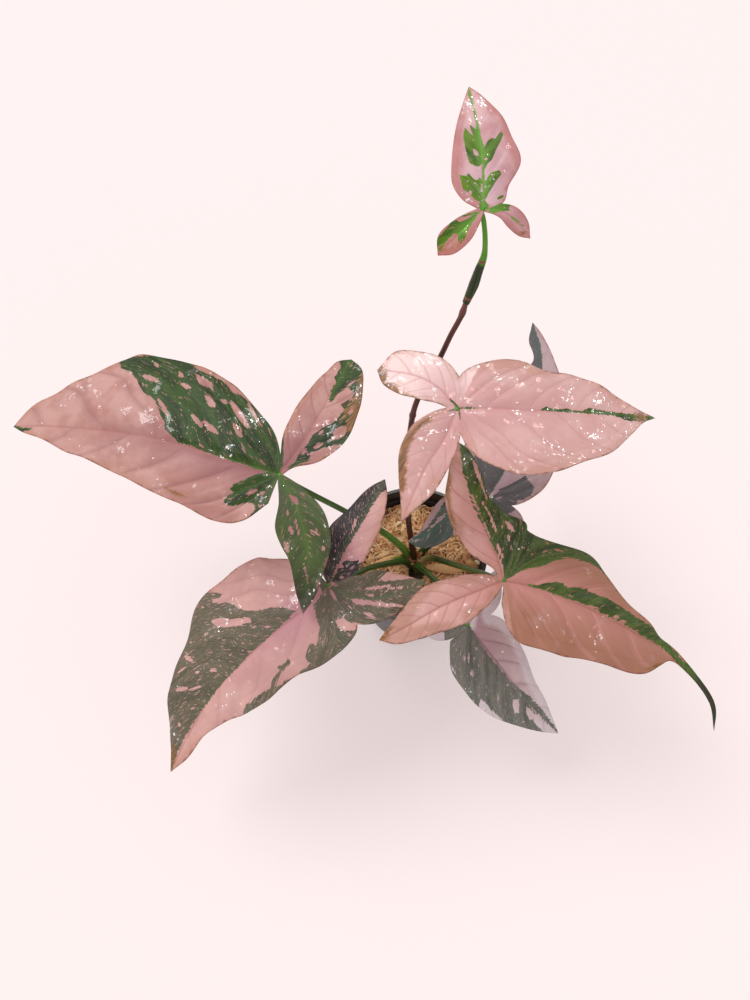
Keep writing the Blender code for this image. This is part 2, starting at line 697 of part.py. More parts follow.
def make_stems(parts):
    """The climbing stem, the petioles and the young shoot. Returns each hole's place and radius."""
    green = (0.07, 0.22, 0.03)
    bright_green = (0.06, 0.35, 0.02)
    maroon = (0.06, 0.022, 0.022)
    holes = [((0, 0), STEM_RADII[0])]
    make_tube("stem", STEM_PATH, STEM_RADII, parts, maroon, 0.45)
    for name, petiole in CROWN_PETIOLES.items():
        levels = (SOIL_TOP - HOLE_DEPTH, SOIL_TOP, SOIL_TOP + FOOT_RISE)
        foot = [(*petiole.foot, level) for level in levels]
        path = [*foot, *petiole.route, *petiole_end(LEAVES[petiole.leaf])]
        make_tube(name, path, (PETIOLE_RADIUS,), parts, green)
        holes.append((petiole.foot, PETIOLE_RADIUS))
    upper_path = [*UPPER_PETIOLE_PATH, *petiole_end(LEAVES["leaf_upper_right"])]
    make_tube("petiole_upper_right", upper_path, (PETIOLE_RADIUS,), parts, green)
    top_path = [past_end(STEM_PATH, GAP), *TOP_PETIOLE_PATH, *petiole_end(LEAVES["leaf_top"], 3.5)]
    top_radii = (*SHEATH_RADII, TOP_PETIOLE_RADIUS, TOP_PETIOLE_RADIUS)
    make_tube("petiole_top", top_path, top_radii, parts, bright_green)
    make_tube("young_shoot", SHOOT_PATH, SHOOT_RADII, parts, bright_green)
    holes.append((SHOOT_PATH[0][:2], SHOOT_RADII[0]))
    return holes


def main():
    for thing in list(bpy.data.objects):
        bpy.data.objects.remove(thing)
    parts = bpy.data.collections.new("arrowhead_plant")
    cutters = bpy.data.collections.new("cutters")
    for collection in (parts, cutters):
        bpy.context.scene.collection.children.link(collection)
    make_pot(parts, cutters)
    holes = make_stems(parts)
    make_soil(parts, cutters, holes)
    for name, leaf in LEAVES.items():
        make_leaf(name, leaf, parts)


main()
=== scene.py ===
"""The looks of the arrowhead plant: veined, variegated wet blades, fleshy petioles, husk and a ribbed pot.

Lengths are millimetres, and MM turns them into Blender's metres. The blades, petioles and stem follow the
CAD part's own tables. The pattern of each blade is drawn as outlines and strokes in pixels of the
photograph, and photo_pixel says which pixel sees a point of the plant. A tint is an sRGB colour, with
parts from 0 to 255.
"""

import math
import random
from collections import namedtuple

import bmesh
import bpy
import numpy as np
from mathutils import Euler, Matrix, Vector, noise
from mathutils.geometry import delaunay_2d_cdt


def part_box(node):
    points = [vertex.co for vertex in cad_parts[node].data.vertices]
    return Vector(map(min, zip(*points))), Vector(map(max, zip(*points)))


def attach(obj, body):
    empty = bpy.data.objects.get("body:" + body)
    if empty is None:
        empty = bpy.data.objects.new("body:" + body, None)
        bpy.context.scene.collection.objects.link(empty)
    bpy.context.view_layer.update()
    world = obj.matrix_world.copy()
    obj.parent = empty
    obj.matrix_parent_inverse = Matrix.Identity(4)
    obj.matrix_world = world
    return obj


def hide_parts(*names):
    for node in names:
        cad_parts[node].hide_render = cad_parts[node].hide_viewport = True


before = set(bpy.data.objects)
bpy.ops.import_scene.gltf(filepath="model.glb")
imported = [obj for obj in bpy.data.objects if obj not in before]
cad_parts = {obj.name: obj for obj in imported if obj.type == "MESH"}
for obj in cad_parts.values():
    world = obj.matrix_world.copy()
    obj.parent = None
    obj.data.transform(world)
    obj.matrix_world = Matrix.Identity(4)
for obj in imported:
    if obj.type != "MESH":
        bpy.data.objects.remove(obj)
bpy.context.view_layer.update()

MM = 0.001
GAP = 0.3  # between the substrate and the pot's wall

# Camera and the photograph's frame
PHOTO_WIDTH = 750
PHOTO_HEIGHT = 1000
CAMERA_PLACE = (-25.0, -207.0, 500.0)
CAMERA_TILT = 30.0  # degrees up from looking straight down
SENSOR = 36.0  # height of the frame on it
LENS = 27.0
FOCAL_PIXELS = LENS / SENSOR * PHOTO_HEIGHT

# Pot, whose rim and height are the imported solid's
_, POT_HIGH = (np.array(corner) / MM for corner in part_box("pot"))
RIM_RADIUS = POT_HIGH[0]
POT_HEIGHT = POT_HIGH[2]
BASE_RADIUS = 31.0
POT_WALL = 1.4
STEP_HEIGHT = POT_HEIGHT - 12.0
COLLAR_STEP = 1.6
LIP_HEIGHT = 1.8
LIP_DEPTH = 1.0
LIP_ROUNDING = 0.4
MOUTH_ROUNDING = 0.35
CHAMFER = 0.3
FOOT_ROUNDING = 1.5
BODY_TOP_RADIUS = RIM_RADIUS - LIP_DEPTH - COLLAR_STEP
POT_SIDES = 480
COLLAR_RIBS = 120
RIB_DEPTH = 0.45
RIB_TOP_GAPS = (0.4, 0.7)  # under the lip, where the collar's plain band ends and its ribs are whole
RIB_FOOT_GAPS = (0.5, 0.9)  # the same over the step
DRAIN_HOLES = 6
DRAIN_HOLE_RADIUS = 4.0
DRAIN_HOLE_CIRCLE = 20.0
DRAIN_HOLE_TURN = 16.0
DRAIN_HOLE_SIDES = 28
PLASTIC_TINTS = ((28, 29, 31), (46, 47, 51))
DUST_TINT = (104, 92, 80)

# Substrate
SOIL_TOP = 66.0
SOIL_RINGS = 60
SOIL_SIDES = 200
SOIL_LUMP = 1.3
SOIL_LUMP_RATE = 0.16
SOIL_TINTS = ((104, 70, 42), (200, 148, 94))
# Painted shade in the gaps between the crumbs
SOIL_GAP_SHADE_TINT = (28, 18, 12)
HOLLOW_PLACE = (1.5, -9.0)  # the hollow before the crown, with painted shade in it
HOLLOW_RADIUS = 6.0
HOLLOW_DEPTH = 5.5
# Painted shade in the hollow
HOLLOW_SHADE_TINT = (26, 19, 14)

# Loose husk fibres and chips on the substrate
FIBRES = 1500
FIBRE_SEED = 11
FIBRE_RADII = (0.22, 0.5)
FIBRE_LENGTHS = (5.0, 16.0)
FIBRE_STEPS = 11
FIBRE_SIDES = 4
FIBRE_LIFT = 2.2  # the most that a fibre rises over the substrate
FIBRE_REST = 0.2
FIBRE_BEND = 0.25  # how far it turns at each step, in radians, and how far that varies
FIBRE_WOBBLE = 0.22
FIBRE_MARGINS = (1.5, 1.2)  # from the pot's wall, for its start and for the rest of it
CHIPS = 260
CHIP_SEED = 5
CHIP_MARGIN = 5.0
CHIP_LENGTHS = (2.5, 8.0)
CHIP_WIDTHS = (0.8, 2.6)
CHIP_HEIGHTS = (0.4, 1.2)
CHIP_RISES = (0.2, 1.4)
CHIP_SECTIONS = ((-0.5, 0.3), (-0.2, 1.0), (0.15, 0.85), (0.5, 0.2))  # shares of its length and width
HUSK_TINTS = ((196, 140, 90), (250, 200, 138), (255, 226, 174), (255, 238, 200))
RED_HUSK_TINT = (176, 92, 62)
HUSK_GRIT_TINT = (96, 60, 34)

# Stems, each with its radii from foot to top. A swelling is (share of the way, length, growth).
TUBE_SIDES = 20
TUBE_STEP = 0.8
TUBE_FLUTES = 5
TUBE_FLUTE_DEPTH = 0.025  # of its radius
TUBE_GRAIN_RADIUS = 1.6
STEM_RADII = (1.9, 1.8, 1.6, 1.4)
STEM_SWELLINGS = ((0.30, 1.6, 0.22), (0.62, 1.6, 0.25), (0.97, 2.2, 0.3))
PETIOLE_RADII = (2.5, 2.3, 2.0, 1.8, 1.65, 1.6, 1.6, 1.6)
PETIOLE_SWELLINGS = ((0.96, 5.0, 0.16),)
PETIOLE_ENDS = (-5.5, -1.3)  # heights over the blade's middle where a petiole bends up into it
TOP_PETIOLE_RADIUS = 1.2
TOP_PETIOLE_ENDS = (-4.0, -0.85)
SHEATH_RADII = (1.9, 2.6, 2.1, 1.3)
SHEATH_END = (0.42, 0.48)  # shares of the top petiole's way
SHEATH_RINGS = (0.05, 0.44)
SHEATH_TINTS = ((24, 32, 16), (54, 76, 32))
SHEATH_RING_TINT = (126, 76, 60)
TOP_PETIOLE_TINTS = ((62, 128, 30), (104, 168, 44))
FOOT_RISE = 2.5
HOLE_DEPTH = 8.0

# Blades
OUTLINE_STEP = 0.9
INSIDE_STEP = 0.8
RIB_SAMPLES = 60
FOLD_ROUNDING = 1.5
BLEND_ROUNDING = 2.0
FLAT_REACH = 4.0
FOLD_SPREAD = 10.0
WAVE_LENGTH = 34.0
WAVE_MARGIN = 4.0
WAVE_SHIFT = 2.1  # radians between the waves of a lobe's two sides
MIDDLE_THICKNESS = 0.6
EDGE_THICKNESS = 0.22
EDGE_REACH = 2.5  # from the edge to where the blade has its full thickness
LEAST_HALF_WIDTH = 2.0
VEIN_RATE = 1.9  # side veins in a lobe's greatest half width of its rib
VEIN_CROWDING = 0.8  # below 1, the veins are closer near the junction
RIM_VEIN = 0.17  # from the edge, of a lobe's greatest half width
VEIN_SLANT = 0.9
VEIN_CURL = 0.55
VEIN_WANDER = 0.04  # how far the veins wander, of a lobe's greatest half width
WANDER_ALONG = 0.07
WANDER_ACROSS = 0.21
WHOLE_VEINS = 20.0  # added so that the count of veins is above 0 behind the junction too
PUCKER = 0.05  # height of the blade between two veins, of their spacing
FINER_PUCKER = 0.22
EDGE_FADE = (0.5, 9.0)  # distances between which the pucker rises from the edge, the rib and the seam
RIB_FADE = (0.0, 5.0)
SEAM_FADE = (0.0, 4.0)
GROOVE = 0.5  # depth of the midrib's groove
GROOVE_WIDTH = 1.2
RIM_GROOVE = 0.16
RIM_GROOVE_WIDTH = 0.9
KEEL = 0.9  # height of the midrib under the blade
KEEL_WIDTH = 1.3
UNDER_VEIN = 0.3  # height of a side vein under the blade
UNDER_VEIN_WIDTH = 0.8
RUFFLE = 0.42  # height of the waves of the edge
RUFFLE_LENGTH = 17.0  # a lobe has three waves for each such length in its greatest half width
RUFFLE_REACH = 5.0  # how far they reach in from the edge
RUFFLE_FADE = (2.0, 12.0)  # distances from the rib between which they rise
FAR_OUTSIDE = -60.0  # pixels
STROKE_NARROWING = 0.5  # of its width, lost at a stroke's ends
GRAIN_ACROSS = 0.5  # below 1, the grain is drawn out along the side veins
GRAIN_LOBE_SHIFT = 40.0  # sets the grain of the three lobes apart
LONG_GRAIN = (1.0, 0.45, 1.0)
DRIED_TINTS = ((72, 64, 30), (150, 104, 62), (208, 160, 122))
# Dark of a blade's end: the lower-right blade's own dark tail, and painted shade at the end of the left
# blade's lower lobe
DARK_TIP_AND_SHADE_TINT = (46, 44, 34)
# White of the highlights painted into the colour of the blades' wet patches
PAINTED_GLINT_TINT = (255, 250, 250)

# Dried strips on the substrate, from pixel to pixel of the photograph, and old sheaths round the crown
STRIP_ROWS = 12
STRIP_COLUMNS = 7
STRIP_THICKNESS = 0.3
STRIP_CURL = -0.35  # height of its sides, of its half width
HUSK_RISE = 1.8
SCALE_CURL = 0.5
SCALE_ARCH = 0.8
Husk = namedtuple("Husk", "start end width arch tint")
HUSKS = (
    Husk((372, 567), (396, 556), 5.0, 1.2, 0.42),
    Husk((376, 558), (390, 552), 3.0, 1.0, 0.51),
    Husk((426, 566), (462, 572), 6.0, 1.5, 0.44),
    Husk((464, 549), (466, 562), 3.2, 0.8, 0.62),
    Husk((466, 560), (478, 568), 4.2, 1.2, 0.2),
    Husk((475, 560), (482, 566), 2.4, 0.8, 0.9),
    Husk((413, 545), (425, 552), 1.5, 1.0, 0.95),
    Husk((431, 494), (438, 505), 2.0, 1.2, 0.8),
    Husk((392, 528), (403, 521), 1.6, 1.0, 0.85),
    Husk((437, 546), (452, 540), 2.2, 1.0, 0.7),
)
Scale = namedtuple("Scale", "turn reach lean height width tint")
SCALES = (
    Scale(20, 2.6, 2.5, 7, 3.6, 0.05),
    Scale(85, 2.6, 1.5, 9, 3.2, 0.12),
    Scale(150, 2.8, 3.0, 6, 3.8, 0.3),
    Scale(205, 3.0, 3.5, 5, 4.2, 0.08),
    Scale(262, 2.6, 2.0, 8, 3.4, 0.0),
    Scale(318, 3.0, 3.0, 6, 3.8, 0.16),
    Scale(345, 7.4, 2.5, 6, 3.4, 0.1),
    Scale(180, 7.2, 2.5, 6, 3.2, 0.22),
)

# Water drops, whose profile is (share of the reach, height over the blade), both of the drop's radius
DROP_SEED = 3
DROP_SIDES = 14
DROP_PROFILE = ((0.92, -0.12), (1.0, 0.04), (0.93, 0.2), (0.7, 0.36), (0.38, 0.46))
DROP_TOP = 0.49
DROP_RADII = (0.35, 1.5)
WATER_TINT = (250, 252, 255)
DROPS = {
    "leaf_left": 70, "leaf_front_left": 60, "leaf_upper_right": 130, "leaf_lower_right": 70,
    "leaf_bottom": 30, "leaf_back": 40, "leaf_top": 14,
}

# Stage
FLOOR_REACH = 4000.0
FLOOR_COLOUR = (255, 243, 243)
FLOOR_GLOW = 0.45  # the share of its brightness that shadows leave
GLOW_TRIM = 0.97
FLOOR_ROUGHNESS = 0.9
SKY_COLOUR = (255, 246, 244)
SKY_STRENGTH = 0.72
SUN_FROM = (-0.5, 0.4, 0.85)
SUN_STRENGTH = 1.3
SUN_WIDTH = 34.0  # degrees
LAMP_AIM = (20, 0, 150)
# These lamps only glint in what is wet
LAMP_TINT = (255, 252, 250)
Lamp = namedtuple("Lamp", "place size power")
LAMPS = {
    "glint_back": Lamp(place=(150, 480, 830), size=80, power=1.5),
    "glint_left": Lamp(place=(-420, 60, 800), size=80, power=1.2),
    "glint_right": Lamp(place=(520, 120, 640), size=80, power=0.9),
    "glint_high": Lamp(place=(-130, 330, 950), size=70, power=1.1),
    "glint_front": Lamp(place=(260, -330, 900), size=70, power=1.1),
}

# Tints of the stems. The foot's and the top's ends are shares of the way.
StemTints = namedtuple("StemTints", "deep skin foot top foot_reach top_from")
PETIOLE_TINTS = StemTints((38, 70, 22), (70, 104, 38), (104, 98, 54), (96, 146, 48), 0.22, 0.95)
BRIGHT_PETIOLE_TINTS = StemTints((40, 76, 22), (74, 112, 40), (132, 182, 76), (96, 146, 48), 0.5, 0.95)
MOTTLED_PETIOLE_TINTS = StemTints((48, 72, 26), (86, 98, 44), (226, 200, 142), (84, 140, 36), 0.32, 0.93)
STEM_TINTS = StemTints((52, 28, 24), (106, 60, 50), (54, 60, 36), (120, 76, 64), 0.2, 0.9)
SHOOT_TINTS = StemTints((96, 160, 34), (138, 196, 56), (110, 140, 60), (190, 220, 110), 0.3, 0.7)

# Tints, levels and widths of the blades. The values of slate, of the share of tan and of tip_from are for
# the main, left and right lobe; the share of tan is the lobe's own tone, and painted shade on the
# lower-right blade's main lobe. A level is that of a noise, above which there are flecks, dots or wet
# patches.
Tints = namedtuple(
    "Tints",
    "pink blush mauve rust burn vein dark green olive leaf_green slate_green pale "
    "rust_width rusting fleck_level dot_level rib_green dryness slate tan warm "
    "dried_width frost frost_width pleat ragged tip_from tip_reach",
)
COMMON_TINTS = Tints(
    pink=(204, 154, 146), blush=(216, 170, 162), mauve=(184, 128, 140), rust=(188, 132, 106),
    burn=(120, 78, 56), vein=(176, 112, 108), dark=(34, 56, 18), green=(62, 94, 28), olive=(92, 100, 44),
    leaf_green=(96, 136, 50), slate_green=(66, 62, 64), pale=(190, 166, 152), rust_width=2.0, rusting=0.5,
    fleck_level=0.66, dot_level=0.7, rib_green=0.2, dryness=0.6, slate=(0, 0, 0), tan=(176, 120, 100),
    warm=(0, 0, 0), dried_width=2.5, frost=(0, 0, 0), frost_width=-9.0,
    pleat=1.0, ragged=1.0, tip_from=(2, 2, 2), tip_reach=0.08,
)
TINTS = {
    "leaf_left": COMMON_TINTS._replace(
        pink=(184, 132, 124), blush=(206, 160, 152), mauve=(150, 98, 104), dark=(26, 46, 16),
        # The paler slate green over its lower lobe is partly the lobe's own green and partly painted
        # highlight
        green=(52, 86, 26), olive=(86, 94, 38), slate_green=(118, 130, 84), slate=(0, 0.35, 0),
        # The dark end of its lower lobe is painted shade
        dried_width=8.0, fleck_level=0.645, tip_from=(2, 0.45, 2), tip_reach=0.6,
    ),
    "leaf_front_left": COMMON_TINTS._replace(
        pink=(200, 154, 150), dark=(90, 88, 72), green=(108, 102, 84), olive=(150, 134, 114),
        leaf_green=(90, 114, 76), slate_green=(52, 48, 52), slate=(0, 0, 1), dot_level=0.67,
        fleck_level=0.635, pleat=0.5,
    ),
    "leaf_upper_right": COMMON_TINTS._replace(
        pink=(216, 168, 164), blush=(228, 186, 182), mauve=(210, 158, 158), rust=(202, 148, 126),
        rust_width=3.0, dryness=0.56, tan=(255, 226, 224), warm=(0, 1.0, 0.0), dried_width=4.5,
        vein=(196, 132, 130), ragged=0.6, pleat=0.9,
    ),
    "leaf_lower_right": COMMON_TINTS._replace(
        pink=(214, 164, 156), blush=(222, 178, 170), mauve=(206, 144, 138), rust=(168, 118, 92),
        dark=(46, 64, 26), green=(80, 104, 44), olive=(118, 114, 68), rust_width=4.0,
        # The tan over its main lobe is painted shade
        tan=(164, 110, 86), warm=(0.9, 0.0, 0.0), vein=(156, 98, 88), pleat=1.7, dryness=0.635,
        tip_from=(0.75, 2, 2),
    ),
    "leaf_bottom": COMMON_TINTS._replace(
        pink=(206, 182, 184), blush=(222, 204, 208), mauve=(172, 136, 144), dark=(96, 102, 94),
        green=(128, 128, 120), olive=(158, 138, 124), leaf_green=(84, 108, 94), rust_width=1.0,
        rusting=0.3, dot_level=0.67, fleck_level=0.68, rib_green=0.1, frost=(220, 210, 216),
        frost_width=5.5, pleat=1.6, vein=(134, 92, 100),
    ),
    "leaf_back": COMMON_TINTS._replace(
        pink=(172, 146, 148), blush=(186, 162, 166), mauve=(170, 146, 156), dark=(66, 80, 76),
        green=(92, 104, 98), leaf_green=(50, 112, 90), slate_green=(92, 88, 94), rust_width=1.0,
        rusting=0.3, slate=(0.8, 0, 0.7),
    ),
    "leaf_top": COMMON_TINTS._replace(
        pink=(196, 140, 144), blush=(226, 184, 186), mauve=(230, 196, 208), burn=(186, 122, 108),
        rust=(192, 118, 114), vein=(182, 110, 116), dark=(58, 98, 0), green=(100, 142, 0),
        olive=(70, 104, 30), leaf_green=(112, 170, 60), rust_width=3.5, rusting=0.7, rib_green=0.6,
        tan=(190, 126, 96), warm=(0, 0.8, 0), ragged=0.4, pleat=1.2,
    ),
}

# Blades in their own planes, from the junction of their three ribs. A row of margins is the distance along
# the rib and the half widths to its left and right.
Lobe = namedtuple("Lobe", "rib margins lift droop fold")
Leaf = namedtuple("Leaf", "junction turn wave main left right")
LEAVES = {
    "leaf_left": Leaf(
        junction=(-76, 5, 160),
        turn=(-4, -12, 76),
        wave=1.6,
        main=Lobe(
            rib=((0, 0), (3, 40), (6, 78), (6, 108), (5, 143), (3, 174)),
            margins=(
                (0, 17, 5), (10, 30, 21), (25, 34, 32), (45, 31, 44), (70, 28, 50), (98, 22, 51),
                (113, 18, 47), (128, 15, 34), (149, 8, 22), (164, 4, 11), (174, 0, 0),
            ),
            lift=0.14, droop=0.0013, fold=0.11,
        ),
        left=Lobe(
            rib=((0, 0), (-13, -12), (-28, -21), (-42, -26), (-67, -28)),
            margins=(
                (0, 1, 1), (6, 4, 4), (15, 8, 8), (28, 13, 14), (40, 13, 13), (52, 9, 9),
                (65, 6, 5), (75, 0, 0),
            ),
            lift=-0.02, droop=0.0030, fold=0.14,
        ),
        right=Lobe(
            rib=((0, 0), (20, -8), (48, -14), (78, -19)),
            margins=(
                (0, 1, 1), (8, 6, 5), (18, 11, 15), (35, 14, 21), (51, 12, 19), (66, 9, 14),
                (75, 7, 9), (80, 0, 0),
            ),
            lift=0.12, droop=0.0025, fold=0.14,
        ),
    ),
    "leaf_front_left": Leaf(
        junction=(-50, -44, 126),
        turn=(-22, 2, 137),
        wave=1.6,
        main=Lobe(
            rib=((0, 0), (2, 19), (7, 40), (11, 63), (14, 86), (13, 110), (10, 139)),
            margins=(
                (0, 20, 13), (8, 29, 30), (25, 30, 42), (46, 26, 46), (66, 25, 45), (81, 22, 34),
                (96, 15, 26), (111, 9, 20), (127, 6, 7), (141, 0, 0),
            ),
            lift=0.12, droop=0.0016, fold=0.11,
        ),
        left=Lobe(
            rib=((0, 0), (-17, -5), (-28, -18), (-35, -34)),
            margins=((0, 1, 2), (10, 10, 9), (19, 12, 14), (31, 14, 12), (42, 10, 6), (53, 0, 0)),
            lift=-0.40, droop=0.0015, fold=0.13,
        ),
        right=Lobe(
            rib=((0, 0), (4, -19), (8, -41), (13, -64)),
            margins=(
                (0, 1, 1), (5, 7, 5), (14, 11, 11), (29, 14, 12), (45, 9, 11), (58, 5, 6),
                (66, 0, 0),
            ),
            lift=0.20, droop=0.0030, fold=0.16,
        ),
    ),
    "leaf_upper_right": Leaf(
        junction=(16, 20, 198),
        turn=(-4, 12, -89),
        wave=1.2,
        main=Lobe(
            rib=((0, 0), (0, 21), (1, 41), (-1, 79), (-3, 109)),
            margins=(
                (0, 14, 11), (5, 21, 23), (15, 26, 30), (31, 29, 34), (46, 23, 32), (62, 21, 27),
                (77, 15, 22), (90, 8, 12), (100, 3, 4), (109, 0, 0),
            ),
            lift=0.14, droop=0.0024, fold=0.11,
        ),
        left=Lobe(
            rib=((0, 0), (-11, -8), (-19, -20), (-25, -39)),
            margins=((0, 2, 3), (10, 8, 11), (20, 12, 14), (32, 13, 14), (42, 9, 11), (48, 0, 0)),
            lift=0.08, droop=0.0050, fold=0.14,
        ),
        right=Lobe(
            rib=((0, 0), (16, -7), (31, -17), (55, -28)),
            margins=(
                (0, 2, 3), (8, 5, 12), (19, 8, 17), (31, 10, 16), (43, 9, 10), (53, 4, 4),
                (61, 0, 0),
            ),
            lift=0.03, droop=0.0045, fold=0.14,
        ),
    ),
    "leaf_lower_right": Leaf(
        junction=(44, -44, 132),
        turn=(-18, 4, -122),
        wave=1.4,
        main=Lobe(
            rib=(
                (0, 0), (-7, 18), (-12, 39), (-16, 61), (-20, 86), (-24, 101), (-23, 115), (-18, 141),
                (-7, 153),
            ),
            margins=(
                (0, 34, 13), (5, 32, 25), (15, 28, 31), (40, 29, 30), (53, 22, 27), (69, 13, 24),
                (87, 9, 20), (97, 4, 11), (108, 2, 4.5), (123, 2, 2), (148, 1.5, 1.5), (161, 0, 0),
            ),
            lift=0.16, droop=0.0018, fold=0.13,
        ),
        left=Lobe(
            rib=((0, 0), (-7, -8), (-26, -33), (-56, -62)),
            margins=(
                (0, 2, 6), (8, 5, 12), (18, 13, 20), (26, 16, 23), (36, 18, 14), (48, 17, 8),
                (62, 12, 8), (76, 6, 6), (84, 0, 0),
            ),
            lift=0.10, droop=0.0022, fold=0.14,
        ),
        right=Lobe(
            rib=((0, 0), (13, -9), (31, -21), (49, -30), (61, -37)),
            margins=(
                (0, 1, 2), (8, 6, 6), (18, 10, 10), (30, 13, 12), (43, 12, 13), (55, 9, 9),
                (66, 6, 4), (73, 0, 0),
            ),
            lift=0.05, droop=0.0045, fold=0.14,
        ),
    ),
    "leaf_bottom": Leaf(
        junction=(28, -55, 94),
        turn=(-28, 6, -135),
        wave=1.0,
        main=Lobe(
            rib=((0, 0), (2, 26), (3, 47), (2, 70), (0, 90)),
            margins=(
                (0, 8, 14), (6, 16, 19), (15, 19, 24), (33, 17, 25), (47, 12, 22), (62, 9, 15),
                (78, 4, 7), (90, 0, 0),
            ),
            lift=0.16, droop=0.0030, fold=0.12,
        ),
        left=Lobe(
            rib=((0, 0), (-16, -3), (-38, -9)),
            margins=((0, 1, 2), (8, 5, 6), (18, 8, 9), (28, 6, 7), (39, 0, 0)),
            lift=0.05, droop=0.0040, fold=0.14,
        ),
        right=Lobe(
            rib=((0, 0), (12, -12), (20, -34)),
            margins=((0, 2, 1), (8, 6, 6), (18, 9, 9), (30, 6, 7), (41, 0, 0)),
            lift=0.05, droop=0.0050, fold=0.14,
        ),
    ),
    "leaf_back": Leaf(
        junction=(41, 14, 120),
        turn=(2, 4, -17),
        wave=1.2,
        main=Lobe(
            rib=((0, 0), (5, 18), (10, 50), (12, 100), (4, 128), (-1, 147)),
            margins=(
                (0, 10, 10), (8, 20, 18), (21, 27, 25), (36, 30, 26), (62, 27, 24), (87, 17, 16),
                (108, 6, 9), (129, 5, 6), (142, 2, 3), (150, 0, 0),
            ),
            lift=0.20, droop=0.0017, fold=0.12,
        ),
        left=Lobe(
            rib=((0, 0), (-18, -12), (-29, -24), (-38, -28)),
            margins=((0, 2, 2), (8, 8, 9), (20, 12, 11), (30, 12, 8), (40, 8, 4), (48, 0, 0)),
            lift=-0.60, droop=0.0020, fold=0.12,
        ),
        right=Lobe(
            rib=((0, 0), (15, -13), (27, -30)),
            margins=((0, 2, 1), (8, 7, 6), (18, 10, 9), (30, 7, 7), (41, 0, 0)),
            lift=0.02, droop=0.0040, fold=0.14,
        ),
    ),
    "leaf_top": Leaf(
        junction=(24, 77, 272),
        turn=(27, -1, 8),
        wave=0.5,
        main=Lobe(
            rib=((0, 0), (2, 17), (3, 38), (3, 61)),
            margins=(
                (0, 3, 5), (4, 10, 10), (11, 14, 12), (21, 14, 18), (32, 12, 15), (42, 9, 12),
                (53, 4, 6), (61, 0, 0),
            ),
            lift=0.15, droop=0.0040, fold=0.14,
        ),
        left=Lobe(
            rib=((0, 0), (-9, -7), (-22, -16)),
            margins=((0, 1, 1), (7, 4, 4), (14, 6, 6), (22, 5, 6), (27, 0, 0)),
            lift=-0.05, droop=0.0100, fold=0.16,
        ),
        right=Lobe(
            rib=((0, 0), (11, -3), (22, -13)),
            margins=((0, 1, 1), (7, 3, 3), (14, 5, 5), (21, 4, 4), (26, 0, 0)),
            lift=-0.05, droop=0.0100, fold=0.16,
        ),
    ),
}

# Where each petiole of the crown goes on its way from its hole in the substrate to its blade
Petiole = namedtuple("Petiole", "leaf foot route tints")
CROWN_PETIOLES = {
    "petiole_left": Petiole(
        leaf="leaf_left", foot=(-5, 2),
        route=((-8, 3.5, 76), (-21, 6.5, 92), (-43.5, 4.5, 122), (-60, 4, 141)),
        tints=BRIGHT_PETIOLE_TINTS,
    ),
    "petiole_front_left": Petiole(
        leaf="leaf_front_left", foot=(-4.5, -4), route=((-9, -7, 77), (-28, -21, 98), (-42, -37, 116)),
        tints=PETIOLE_TINTS,
    ),
    "petiole_lower_right": Petiole(
        leaf="leaf_lower_right", foot=(5, -3), route=((10, -5, 78), (25, -20, 98), (37, -35, 119)),
        tints=MOTTLED_PETIOLE_TINTS,
    ),
    "petiole_bottom": Petiole(
        leaf="leaf_bottom", foot=(1, -6.5), route=((3, -11, 77), (12, -29, 94), (22, -46, 96)),
        tints=PETIOLE_TINTS,
    ),
    "petiole_back": Petiole(
        leaf="leaf_back", foot=(4.5, 3.5), route=((10, 5.5, 76), (26, 10, 97), (37, 13, 111)),
        tints=PETIOLE_TINTS,
    ),
}
STEM_PATH = (
    (0, 0, 58), (0, 0, 66), (-0.5, 0.8, 69), (-5, 14, 100), (-6, 29, 128), (-5, 40, 150), (-2, 45, 172),
    (9, 57.5, 191), (14.5, 63, 204), (19, 66.5, 214), (21, 69, 221.5),
)
# This one leaves the climbing stem at a node
UPPER_PETIOLE_PATH = (
    (-3.7, 22.9, 119.5), (-1.7, 21.6, 120.6), (1, 22, 130), (3, 24, 148), (8, 23, 168), (14, 21.5, 184),
)
# This one carries the climbing stem on, as a sheath at first
TOP_PETIOLE_PATH = (
    (24, 71.5, 231), (25.5, 72.5, 239), (27.2, 73.5, 248), (26.6, 74.5, 257), (25.2, 77, 264.5),
)
SHOOT_PATH = ((-7, -1, 58), (-7, -1, 66), (-7.3, -1.1, 68.5), (-10, -2.5, 73), (-15, -4, 76))
SHOOT_RADII = (1.3, 1.3, 1.2, 0.3)

